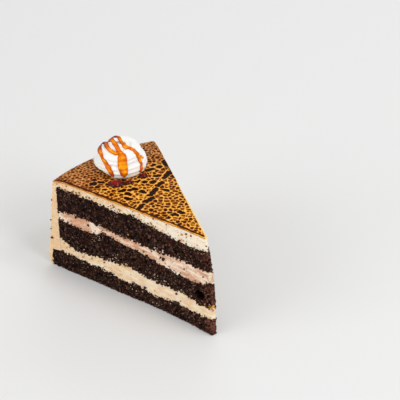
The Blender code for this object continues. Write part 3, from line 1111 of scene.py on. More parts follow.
@dataclass
class SpongeLayer(CutLayer):
    """One dark sponge, torn into crumbs and pores by the knife."""

    proud: float = 0.18 * MM
    lump_size: float = 1.9 * MM
    lump_depth: float = 0.9 * MM
    fine_size: float = 0.85 * MM
    fine_depth: float = 0.5 * MM
    swell_size: float = 5.0 * MM
    swell_depth: float = 0.28 * MM
    pore_size: float = 3.1 * MM
    pore_share: float = 0.42
    pore_depth: float = 1.3 * MM
    relief_at_tip: float = 0.45
    # Levels of the crumb's painted light: a base, painted highlights on the crests of the lumps,
    # real tone by each lump's kind, a lightening towards the tip, and painted shade in open pores
    # and hollows.
    crumb_light: float = 0.56
    crest_by_lump: float = 0.6
    crest_by_fine: float = 1.2
    crest_by_kind: float = 0.10
    crest_ahead: float = 0.10
    pore_shade: float = 0.6
    hollow_shade: float = 0.9
    tip_reach: float = 8.0 * MM
    tip_moist: float = 0.4
    hollows: tuple[Hollow, ...] = ()
    seed: int = 3

    def build(self) -> Object:
        """Builds and dresses the sponge.

        Returns:
            The finished piece.
        """
        sponge, places = self.shape()
        grain = Grain(self.seed)
        points = places.points
        crumb, kind = grain.lumps(points, self.lump_size)
        fine, _ = grain.lumps(points + self.lump_size, self.fine_size)
        pore, chance = grain.lumps(points - self.pore_size, self.pore_size)
        open_pore = (chance < self.pore_share) * ease(0.42, 0.18, pore)
        relief = self.proud + self.swell_depth * grain.smooth(points, self.swell_size)
        relief += self.lump_depth * (CELL_REACH - crumb) * (0.6 + 0.8 * kind)
        relief += self.fine_depth * (CELL_REACH - fine)
        relief -= self.pore_depth * open_pore
        # Painted light: the value rises on the crests of the lumps as painted highlights and falls
        # in open pores and in the hollow as painted shade.
        crumb_light = self.crumb_light + (CELL_REACH - crumb) * self.crest_by_lump
        crumb_light += (CELL_REACH - fine) * self.crest_by_fine + self.crest_by_kind * (kind - 0.5)
        crumb_light += self.crest_ahead * ease(70 * MM, 4 * MM, places.distance)
        tip = ease(self.tip_reach, 0.2 * self.tip_reach, places.distance)
        crumb_light += self.crest_ahead * tip - self.pore_shade * open_pore
        for shaded_hollow in self.hollows:
            inside = places.front * shaded_hollow.inside(places.distance, places.height)
            relief -= shaded_hollow.depth * inside
            crumb_light -= self.hollow_shade * inside
        relief -= EDGE.sink(EDGE.crumb_margin(points, places.past()))
        points = places.pushed(relief, self.relief_at_tip)
        points[:, 2] = np.maximum(points[:, 2], 0.0)
        write_points(sponge, points)
        write_value(sponge, "crumb_light", crumb_light)
        write_value(sponge, "moist", self.tip_moist * tip)
        thin_hidden(sponge, ~places.cut(), 0.25)
        face_outwards(sponge)
        return dress(sponge, SpongeFinish().material(self.name), Slot.SPONGE, self.node)


def torn_chunks(points: Array, grain: Grain) -> tuple[Array, Array]:
    """Small chunks that the knife tears in cut cream.

    Args:
        points: Points on a cut face.
        grain: The cream's noise.

    Returns:
        For each point a relief from about -0.5 to 0.5, and a change of its tone.
    """
    chunk, kind = grain.lumps(points * np.array([0.6, 0.6, 1.2]), 1.5 * MM)
    return CELL_REACH - chunk + 0.5 * (kind - 0.5), 0.26 * (kind - 0.5)


@dataclass(kw_only=True)
class CreamFilling(CutLayer):
    """One cream filling, smeared a little along the cut by the knife."""

    finish: CreamFinish = IVORY
    slot: Slot = Slot.LOWER_FILLING
    tone: Callable[[CutPlaces, Grain], Array]
    drag: Triple = (0.35, 0.35, 1.6)
    drag_size: float = 1.6 * MM
    drag_depth: float = 0.26 * MM
    swell_size: float = 4.5 * MM
    swell_depth: float = 0.45 * MM
    pit_size: float = 2.3 * MM
    pit_depth: float = 0.5 * MM
    pit_share: float = 0.12
    chunk_depth: float = 0.55 * MM
    relief_at_tip: float = 0.4
    seed: int = 5

    def build(self) -> Object:
        """Builds and dresses the filling.

        Returns:
            The finished piece.
        """
        filling, places = self.shape()
        grain = Grain(self.seed)
        points = places.points
        pit, chance = grain.lumps(points, self.pit_size)
        pits = (chance < self.pit_share) * ease(0.34, 0.12, pit)
        relief = self.swell_depth * grain.smooth(points, self.swell_size)
        relief += self.drag_depth * grain.rough(points * np.array(self.drag), self.drag_size)
        relief -= self.pit_depth * pits
        chunk, chunk_tone = torn_chunks(points, grain)
        relief += self.chunk_depth * chunk
        relief -= EDGE.sink(EDGE.cream_lead - EDGE.crumb_margin(points, -places.past()))
        write_points(filling, places.pushed(relief, self.relief_at_tip))
        write_value(filling, "tone", self.tone(places, grain) + chunk_tone)
        write_value(filling, "speckle", 0.6 + 0.8 * grain.smooth(points, 9 * MM))
        thin_hidden(filling, ~places.cut(), 0.25)
        face_outwards(filling)
        return dress(filling, self.finish.material(self.name), self.slot, self.node)


@dataclass
class CreamCoat:
    """The cream over the top and down the outer wall, combed level by the baker."""

    name: str = "cream_coat"
    wall_outline: tuple[Pair, ...] = (
        (0, 112.6), (3, 113.8), (7, 114.3), (14, 113.3), (30, 111.4), (50, 109.3), (62, 107.8),
    )
    wall_top: float = 60.6 * MM
    glaze_radius: float = 107.0 * MM
    glaze_thickness: float = 0.9 * MM
    comb_pitch: float = 4.2 * MM
    comb_depth: float = 0.65 * MM
    comb_fade: float = 3.0 * MM
    scratch_pitch: float = 0.8 * MM
    scratch_depth: float = 0.07 * MM
    along: tuple[int, ...] = (4, 96)
    across: int = 100
    through: int = 18
    wall_share: float = 0.44
    step_in: float = 0.6 * MM
    under_glaze: float = 0.1 * MM
    tear_size: float = 3.6 * MM
    tear_depth: float = 0.30 * MM
    fine_tear_size: float = 1.5 * MM
    fine_tear_depth: float = 0.17 * MM
    chunk_depth: float = 0.4 * MM
    relief_at_tip: float = 0.4
    wobble_size: float = 2.1 * MM
    wobble_depth: float = 0.16 * MM
    wall_pit_size: float = 2.6 * MM
    wall_pit_depth: float = 0.4 * MM
    wall_pit_share: float = 0.10
    seed: int = 7

    def wall_radius(self, height: Array) -> Array:
        """The combed wall's outline.

        Args:
            height: Heights above the ground.

        Returns:
            The wall's radius at each height.
        """
        outline = smooth_curve(self.wall_outline, height / MM) * MM
        tooth = (0.5 + 0.5 * np.cos(2 * math.pi * height / self.comb_pitch)) ** 2
        ends = np.minimum(height / self.comb_fade, (self.wall_top - height) / self.comb_fade)
        return outline - self.comb_depth * tooth * np.clip(ends, 0.0, 1.0)

    def outer_line(self, rise: Array, inward: Array) -> tuple[Array, Array]:
        """The coat's outside in an upright plane.

        Args:
            rise: Shares of the way up the wall.
            inward: Shares of the way from the rim to the tip.

        Returns:
            The distance from the apex and the height at each share.
        """
        height = self.wall_top * rise
        distance = self.glaze_radius + (WEDGE.tip_start - self.glaze_radius) * inward
        under_glaze = WEDGE.top(distance) - self.glaze_thickness - self.under_glaze
        radius = np.where(rise < 1, self.wall_radius(height), distance)
        return radius, np.where(rise < 1, height, under_glaze)

    def inner_line(self, rise: Array, inward: Array, angle: Array) -> tuple[Array, Array]:
        """The coat's inside in an upright plane.

        Args:
            rise: Shares of the way up the wall.
            inward: Shares of the way from the rim to the tip.
            angle: The plane's angle from the middle line.

        Returns:
            The distance from the apex and the height at each share.
        """
        radius = WEDGE.sponge_radius
        distance = radius + (WEDGE.tip_start - radius) * inward
        ceiling = TOP_SPONGE_TOP.height(distance, angle) - EDGE.overrun
        shelf = BOTTOM_SPONGE_TOP.height(radius + 0.0 * angle, angle)
        low = rise * self.wall_top < shelf
        wall = np.where(low, WEDGE.bottom_sponge_radius - self.step_in, radius)
        return np.where(rise < 1, wall, distance), rise * ceiling

    def build(self) -> Object:
        """Builds and dresses the coat.

        Returns:
            The finished piece.
        """
        coat = divided_block(self.name, (self.along, (self.across,), (self.through,)))
        u, v, w = read_points(coat).T
        angle = WEDGE.turned(v)
        rise = np.minimum(u / self.wall_share, 1.0)
        inward = np.clip((u - self.wall_share) / (1 - self.wall_share), 0.0, 1.0)
        outer_distance, outer_height = self.outer_line(rise, inward)
        inner_distance, inner_height = self.inner_line(rise, inward, angle)
        distance = inner_distance + (outer_distance - inner_distance) * w
        height = inner_height + (outer_height - inner_height) * w
        places = CutPlaces(
            points=WEDGE.place(distance, angle, height),
            distance=distance,
            height=height,
            front=v < SNAP,
            rear=v > 1 - SNAP,
            tip=u > 1 - SNAP,
            past_top=TOP_SPONGE_TOP.height(distance, angle) - height,
            past_foot=0.0 * height,
        )
        grain = Grain(self.seed)
        outside = (w > 1 - SNAP) & (u < self.wall_share)
        places.points = places.pushed(self.cut_relief(places, grain), self.relief_at_tip)
        radial = np.stack([-np.cos(angle), np.sin(angle), 0.0 * angle], axis=1)
        places.points += radial * (outside * self.wall_relief(places, angle, grain))[:, None]
        places.points[:, 2] = np.maximum(places.points[:, 2], 0.0)
        write_points(coat, places.points)
        groove = (0.5 + 0.5 * np.cos(2 * math.pi * height / self.comb_pitch)) ** 2
        patchy = np.clip(0.5 + 1.3 * grain.smooth(places.points, 16 * MM), 0.0, 1.4)
        cut_tone = self.cut_tone(places, grain)
        # Painted shade: the combed wall is given a deeper tone in its grooves, where the specks
        # also gather.
        write_value(coat, "tone", np.where(outside, 0.25 + 0.4 * groove, cut_tone))
        write_value(coat, "speckle", np.where(outside, patchy * (0.3 + 1.4 * groove), 0.9))
        seen = places.cut() | (w > 1 - SNAP) & (u < self.wall_share + 0.02)
        thin_hidden(coat, ~seen, 0.12)
        face_outwards(coat)
        return dress(coat, COAT_CREAM.material(self.name), Slot.ICING, "icing")

    def cut_tone(self, places: CutPlaces, grain: Grain) -> Array:
        """Tone of the cut faces: deeper towards the rim, with painted shade on the strip of the
        outer wall, and stained under the glaze.

        Args:
            places: The coat's vertices.
            grain: The coat's noise.

        Returns:
            The tone at each vertex.
        """
        tone = 0.36 + 0.28 * ease(25 * MM, 75 * MM, places.distance)
        # Painted shade: the cut strip of the outer wall is given a deeper tone.
        tone += 0.16 * ease(104 * MM, 107 * MM, places.distance)
        stain = ease(3.2 * MM, 0.8 * MM, WEDGE.top(places.distance) - places.height)
        stain = stain * np.clip(0.6 + 1.2 * grain.smooth(places.points, 5 * MM), 0.0, 1.0)
        stain = 0.40 * stain * ease(20 * MM, 60 * MM, places.distance)
        return tone + (stain + torn_chunks(places.points, grain)[1])

    def cut_relief(self, places: CutPlaces, grain: Grain) -> Array:
        """Roughness of the two cut faces, which dip behind the sponge's crumb.

        Args:
            places: The coat's vertices.
            grain: The coat's noise.

        Returns:
            How far each vertex stands out.
        """
        points = places.points
        relief = self.tear_depth * grain.smooth(points, self.tear_size)
        relief += self.fine_tear_depth * grain.rough(points, self.fine_tear_size)
        relief += self.chunk_depth * torn_chunks(points, grain)[0]
        over_sponge = places.distance < WEDGE.sponge_radius
        past_crumb = np.where(over_sponge, places.past_top, -1.0)
        crumb_side = EDGE.crumb_margin(points, -past_crumb)
        return relief - np.where(over_sponge, EDGE.sink(EDGE.cream_lead - crumb_side), 0.0)

    def wall_relief(self, places: CutPlaces, angle: Array, grain: Grain) -> Array:
        """Wobble, fine scratches and pits of the combed wall.

        Args:
            places: The coat's vertices.
            angle: Their angles from the middle line.
            grain: The coat's noise.

        Returns:
            How far each vertex stands out.
        """
        arc = angle * WEDGE.rim_radius
        sweep = np.stack([arc * 0.12, 0.0 * arc, places.height], axis=1)
        relief = self.wobble_depth * grain.rough(sweep, self.wobble_size)
        relief += self.scratch_depth * grain.smooth(sweep, self.scratch_pitch)
        spot = np.stack([arc, 0.0 * arc, places.height], axis=1)
        pit, chance = grain.lumps(spot, self.wall_pit_size)
        pits = (chance < self.wall_pit_share) * ease(0.34, 0.1, pit)
        return relief - self.wall_pit_depth * pits


@dataclass
class GlazePattern:
    """Where the glaze's dark cells lie in its golden web.

    Places are in millimetres, ahead of the apex and to the rear. The long blobs form a ribbon
    across the slice, each as its middle, its half length and its direction in degrees.
    """

    blobs: tuple[Quad, ...] = (
        (-45.9, -12.0, 2.8, 115), (-48.7, -4.8, 2.8, 99), (-53.6, 1.9, 3.4, 115),
        (-58.0, 10.0, 2.0, 100), (-63.5, 19.0, 3.6, 112), (-73.7, 25.1, 2.4, -7),
        (-73.8, 14.6, 2.0, 75), (-66.1, 13.7, 1.6, 78), (-62.2, 8.1, 1.2, 100),
        (-68.4, 0.9, 1.0, 83), (-65.3, 4.0, 0.8, 87), (-63.1, -5.9, 1.7, 63),
        (-60.3, -10.3, 1.3, 25), (-65.2, -11.2, 1.0, 70), (-51.1, 8.8, 1.0, 34),
        (-56.9, -13.1, 1.3, 21), (-73.4, 20.0, 0.7, 47), (-76.8, 18.0, 0.8, 75),
        (-57.6, -2.5, 0.8, 42), (-27.7, 3.1, 0.9, 22), (-28.0, -1.4, 1.0, 48),
        (-80.3, -16.3, 0.8, 39), (-81.5, -20.8, 1.2, 81), (-72.5, -18.8, 0.6, 41),
    )
    vein: tuple[Pair, ...] = (
        (-45.7, -16.5), (-51.0, -7.4), (-54.5, -1.9), (-58.1, 3.6), (-59.1, 6.4), (-62.0, 12.0),
        (-64.8, 16.6), (-68.4, 23.6),
    )
    vein_half_width: float = 0.25
    spacing: float = 4.2
    fine_spacing: float = 3.2
    ribbon_spacing: float = 3.6
    blob_room: float = 2.0
    blob_growth: float = 0.40
    corner_rounding: float = 0.28
    half_web: float = 0.14
    thin_rim: float = 0.14
    bend: float = 0.75
    bend_size: float = 2.6
    web_change: float = 0.16
    web_change_size: float = 4.0
    blob_strength: float = 1.15
    weakest: float = 0.54
    neighbours: int = 12
    draws: int = 14000
    reach: float = 112.0
    widening: float = 1.15
    room_range: Pair = (0.38, 1.22)
    seed: int = 21

    def spread(self, at: Array) -> Array:
        """The room that cells want, which is less in the ribbon and towards the rim.

        Args:
            at: Places in millimetres, one to a row.

        Returns:
            The distance between cells that each place asks for.
        """
        near = np.min([np.hypot(at[:, 0] - x, at[:, 1] - y) for x, y, _, _ in self.blobs], axis=0)
        distance = np.hypot(at[:, 0], at[:, 1])
        plain = self.spacing + (self.fine_spacing - self.spacing) * ease(74.0, 92.0, distance)
        return plain + (self.ribbon_spacing - plain) * ease(8.0, 3.0, near)

    def seeds(self) -> tuple[Array, Array]:
        """Draws the cells' middles.

        Returns:
            The middles, one to a row, and the cell that each belongs to.
        """
        middles, owners, rooms = [], [], []
        for cell, (x, y, half, direction) in enumerate(self.blobs):
            turn = math.radians(direction)
            along = np.array([math.cos(turn), math.sin(turn)])
            for share in (-1.0, -0.5, 0.0, 0.5, 1.0):
                middles.append(np.array([x, y]) + along * half * share)
                owners.append(cell)
                rooms.append(self.blob_room + self.blob_growth * half)
        draw = np.random.default_rng(self.seed)
        distance = self.reach * np.sqrt(draw.random(self.draws))
        angle = self.widening * WEDGE.half_angle * draw.uniform(-1, 1, self.draws)
        tries = np.stack([-distance * np.cos(angle), distance * np.sin(angle)], axis=1)
        wanted = self.spread(tries) * draw.uniform(*self.room_range, self.draws)
        kept = np.array(middles)
        for at, clear in zip(tries, wanted):
            apart = np.hypot(*(kept - at).T)
            if np.min(apart) > clear and np.all(apart[: len(rooms)] > rooms):
                kept = np.vstack([kept, at])
                owners.append(owners[-1] + 1)
        return kept, np.array(owners)

    def darkness(self, at: Array) -> tuple[Array, Array]:
        """Reads the pattern.

        Args:
            at: Places in millimetres, one to a row.

        Returns:
            How dark each place is, from 0 on the web to 1 in a large cell, and the distance to
            the web's nearest line.
        """
        grain = Grain(self.seed)
        flat = np.column_stack([at, np.zeros(len(at))])
        bent = at + self.bend * np.column_stack([
            grain.rough(flat, self.bend_size), grain.rough(flat + 57.0, self.bend_size)
        ])
        middles, owners = self.seeds()
        tree = KDTree(len(middles))
        for index, (x, y) in enumerate(middles):
            tree.insert((x, y, 0.0), index)
        tree.balance()
        near = np.array([
            [index for _, index, _ in tree.find_n((x, y, 0.0), self.neighbours)] for x, y in bent
        ])
        home = middles[near[:, :1]]
        reach = np.linalg.norm(middles[near] - bent[:, None], axis=2)
        apart = np.linalg.norm(middles[near] - home, axis=2)
        walls = (reach**2 - reach[:, :1] ** 2) / np.maximum(2 * apart, 1e-6)
        walls = np.where(owners[near] == owners[near[:, :1]], 9.0, walls)
        line = -self.corner_rounding * np.log(np.sum(np.exp(-walls / self.corner_rounding), axis=1))
        vein = np.min([self.to_segment(at, a, b) for a, b in zip(self.vein, self.vein[1:])], axis=0)
        line = np.minimum(line, vein - self.vein_half_width + self.half_web)
        draw = np.random.default_rng(self.seed + 1)
        strength = draw.uniform(0.0, 1.0, owners[-1] + 1)
        strength[: len(self.blobs)] = self.blob_strength
        weight = strength[owners[near[:, 0]]]
        thin = self.half_web + self.web_change * grain.smooth(flat, self.web_change_size)
        thin -= self.thin_rim * ease(70.0, 88.0, np.hypot(*at.T))
        dark = 0.55 * ease(thin - 0.30, thin + 0.25, line) + 0.45 * ease(thin, thin + 0.60, line)
        return np.clip(dark * (self.weakest + (1 - self.weakest) * weight), 0.0, 1.0), line

    @staticmethod
    def to_segment(at: Array, start: Pair, end: Pair) -> Array:
        """The distance from places to a straight line.

        Args:
            at: The places, one to a row.
            start: Where the line starts.
            end: Where it ends.

        Returns:
            The distance from each place.
        """
        first, along = np.array(start), np.array(end) - np.array(start)
        share = np.clip((at - first) @ along / (along @ along), 0.0, 1.0)
        return np.linalg.norm(at - first - share[:, None] * along, axis=1)


@dataclass
class CaramelGlaze:
    """The thin glossy glaze on top: golden at its rear edge ahead, burnt at its front edge."""

    name: str = "caramel_glaze_layer"
    radius: float = 107.0 * MM
    thickness: float = 0.9 * MM
    along: tuple[int, ...] = (4, 100)
    across: tuple[int, ...] = (2, 90)
    rows: int = 3
    round_over: float = 0.25 * MM
    sunk_cells: float = 0.10 * MM
    edge_wave: float = 0.45 * MM
    burnt_line: float = 1.3 * MM
    burnt_inset: float = 0.85 * MM
    burnt_dark: float = 0.85
    thin_rim: float = 0.8 * MM
    thin_reach: float = 80.0 * MM
    pattern: GlazePattern = field(default_factory=GlazePattern)
    seed: int = 31

    def build(self) -> Object:
        """Builds and dresses the glaze.

        Returns:
            The finished piece.
        """
        glaze = divided_block(self.name, (self.along, self.across, (self.rows,)))
        unit = read_points(glaze)
        under = unit[:, 2] < 1 - SNAP
        thin_hidden(glaze, under & ~self.on_rim(unit), 0.02)
        u, v, w = read_points(glaze).T
        distance = WEDGE.along(u, self.radius)
        angle = WEDGE.turned(v)
        to_edge = np.minimum(distance * (WEDGE.half_angle - np.abs(angle)), self.radius - distance)
        rounding = self.round_over * (1 - np.sqrt(np.clip(to_edge / self.round_over, 0.0, 1.0)))
        height = WEDGE.top(distance) - self.thickness * (1 - w) - rounding * w
        points = WEDGE.place(distance, angle, height)
        grain = Grain(self.seed)
        wave = self.edge_wave * (0.4 * grain.rough(points, 3.0 * MM) + 0.65)
        points[:, 1] += np.sign(angle) * wave * ease(2.5 * MM, 0.0, to_edge)
        at = np.stack([points[:, 0] - WEDGE.apex_x, points[:, 1]], axis=1) / MM
        dark, line = self.pattern.darkness(at)
        sunk = self.sunk_cells * ease(0.2, 1.0, line)
        points[:, 2] -= np.where(w > 1 - SNAP, sunk * ease(0.0, 1.2 * MM, to_edge), 0.0)
        write_points(glaze, points)
        to_front = distance * (WEDGE.half_angle + angle)
        to_rear = distance * (WEDGE.half_angle - angle)
        burnt = self.burnt_line * (1.0 + 0.5 * grain.smooth(points, 5 * MM))
        from_burnt = np.abs(to_front - self.burnt_inset) / burnt
        dark = dark * ease(0.0, 0.5 * MM, to_front)
        thin = self.thin_rim * ease(self.thin_reach, 0.4 * self.thin_reach, distance) + 1e-9
        write_value(glaze, "dark", np.maximum(dark, self.burnt_dark * ease(0.75, 0.25, from_burnt)))
        # Painted sheen of reflected light, rising towards the rim.
        write_value(glaze, "tan_sheen", ease(72 * MM, 96 * MM, distance))
        write_value(glaze, "side", 1.0 * (w < 1 - SNAP))
        write_value(glaze, "thin", ease(1.4, 0.6, to_rear / thin))
        face_outwards(glaze)
        return dress(glaze, GlazeFinish().material(self.name), Slot.GLAZE, "caramel_glaze")

    @staticmethod
    def on_rim(unit: Array) -> Array:
        """Whether each vertex of a unit block lies on one of its four upright sides."""
        return np.any((unit[:, :2] < SNAP) | (unit[:, :2] > 1 - SNAP), axis=1)


@dataclass
class Rosette:
    """Whipped cream piped through a star nozzle: a ribbed rope in a ring, wound to a peak."""

    name: str = "whipped_rosette"
    from_apex: float = 85.9 * MM
    offset: float = 2.2 * MM
    start_angle: float = math.radians(-150)
    path: tuple[Quad, ...] = (
        (0.0, 12.0, 3.6, 2.4), (0.06, 11.7, 4.6, 4.8), (0.25, 9.9, 5.0, 5.2),
        (0.65, 9.5, 5.2, 5.5), (1.0, 8.6, 9.0, 5.4), (1.4, 7.4, 10.6, 5.4), (1.8, 5.4, 12.2, 5.2),
        (2.15, 2.6, 13.5, 4.8), (2.4, 0.4, 14.6, 4.1), (2.5, 0.0, 15.2, 3.4),
    )
    ribs: int = 12
    rib_depth: float = 0.055
    sides: int = 120
    steps: int = 300
    core_radius: float = 9.0 * MM
    core_top_radius: float = 6.0 * MM
    core_top: float = 14.5 * MM
    core_foot: float = -1.5 * MM
    voxel: float = 0.36 * MM
    sink: float = 0.15 * MM
    tucked_side: Triple = (0.6, 0.8, 0.0)
    tuck: float = 3.4 * MM
    tuck_start: float = 3.5 * MM
    tuck_full: float = 10.0 * MM
    tuck_height: float = 6.0 * MM
    ruffle: float = 0.10 * MM
    ruffle_size: float = 2.4 * MM
    seed: int = 13

    def foot(self) -> Vector:
        """The middle of the rosette on the glaze."""
        return Vector((WEDGE.apex_x - self.from_apex, self.offset, WEDGE.top_height))

    def rope(self) -> Object:
        """The ribbed rope, with its ends closed.

        Returns:
            The rope as an object of its own.
        """
        turns = self.path[-1][0] * np.arange(self.steps + 1) / self.steps
        ring, height, radius = (
            smooth_curve([(row[0], row[value]) for row in self.path], turns) * MM
            for value in (1, 2, 3)
        )
        angle = self.start_angle + 2 * math.pi * turns
        middles = np.stack([ring * np.cos(angle), ring * np.sin(angle), height], axis=1)
        section = round_section(self.sides, self.ribs, self.rib_depth)
        return swept_tube("rope", middles, [(r, r) for r in radius], section)

    def build(self) -> Object:
        """Builds and dresses the rosette.

        Returns:
            The finished piece.
        """
        rope = self.rope()
        bpy.ops.object.select_all(action="DESELECT")
        bpy.ops.mesh.primitive_cone_add(
            vertices=48,
            radius1=self.core_radius,
            radius2=self.core_top_radius,
            depth=self.core_top - self.core_foot,
            location=(0.0, 0.0, (self.core_top + self.core_foot) / 2),
        )
        rosette = joined(self.name, (rope, bpy.context.object))
        write_points(rosette, read_points(rosette) + np.array(self.foot()))
        melt(rosette, self.voxel, 8)
        points = read_points(rosette)
        grain = Grain(self.seed)
        normals = np.empty(len(points) * 3, np.float32)
        rosette.data.vertex_normals.foreach_get("vector", normals)
        relief = self.ruffle * grain.rough(points, self.ruffle_size)
        points += normals.reshape(-1, 3) * relief[:, None]
        local = points - np.array(self.foot())
        outward = -local @ np.array(self.tucked_side)
        tuck = self.tuck * ease(self.tuck_start, self.tuck_full, outward)
        tuck = tuck * ease(self.tuck_height, 0.5 * self.tuck_height, local[:, 2])
        points += tuck[:, None] * np.array(self.tucked_side)
        distance = np.hypot(points[:, 0] - WEDGE.apex_x, points[:, 1])
        points[:, 2] = np.maximum(points[:, 2], WEDGE.top(distance) - self.sink)
        write_points(rosette, points)
        write_value(rosette, "tone", 0.5 + 0.3 * grain.smooth(points, 6 * MM))
        write_value(rosette, "speckle", 0.0 * points[:, 0])
        face_outwards(rosette)
        return dress(rosette, WHITE_CREAM.material(self.name), Slot.WHIPPED_CREAM, "cream_rosette")


def round_section(sides: int, ribs: int = 0, depth: float = 0.0) -> list[Pair]:
    """A round section of size 1, ribbed like a star nozzle where ribs are given.

    Args:
        sides: How many points it has.
        ribs: How many ribs.
        depth: How far the ribs stand out.

    Returns:
        The section's points.
    """
    turns = [2 * math.pi * n / sides for n in range(sides)]
    reaches = [1 + depth * math.cos(ribs * turn) for turn in turns]
    return [(math.cos(turn) * r, math.sin(turn) * r) for turn, r in zip(turns, reaches)]


def swept_tube(
    name: str,
    middles: Array,
    reaches: Sequence[Pair],
    section: Sequence[Pair],
    uprights: Sequence[Vector] | None = None,
) -> Object:
    """Sweeps a section along a path, and closes its ends.

    Args:
        name: The object's name.
        middles: The path's points, one to a row.
        reaches: The section's size across and upwards at each point.
        section: The section's points, for a size of 1.
        uprights: The upward direction at each point, or none for a level path.

    Returns:
        The tube.
    """
    shape = bmesh.new()
    across = Vector((1.0, 0.0, 0.0))
    path = [Vector(point) for point in middles]
    rings = []
    for k, (middle, (wide, tall)) in enumerate(zip(path, reaches)):
        along = (path[min(k + 1, len(path) - 1)] - path[max(k - 1, 0)]).normalized()
        level = along.cross(uprights[k] if uprights else Vector((0.0, 0.0, 1.0)))
        if level.length > 0.2:
            across = level.normalized()
        upward = across.cross(along).normalized()
        ring = [
            shape.verts.new(middle + across * (x * wide) + upward * (y * tall)) for x, y in section
        ]
        rings.append(ring)
    for one, two in zip(rings, rings[1:]):
        for n in range(len(section)):
            m = (n + 1) % len(section)
            shape.faces.new((one[n], one[m], two[m], two[n]))
    shape.faces.new(rings[0])
    shape.faces.new(rings[-1])
    bmesh.ops.recalc_face_normals(shape, faces=shape.faces)
    mesh = bpy.data.meshes.new(name)
    shape.to_mesh(mesh)
    shape.free()
    obj = bpy.data.objects.new(name, mesh)
    bpy.context.scene.collection.objects.link(obj)
    return obj


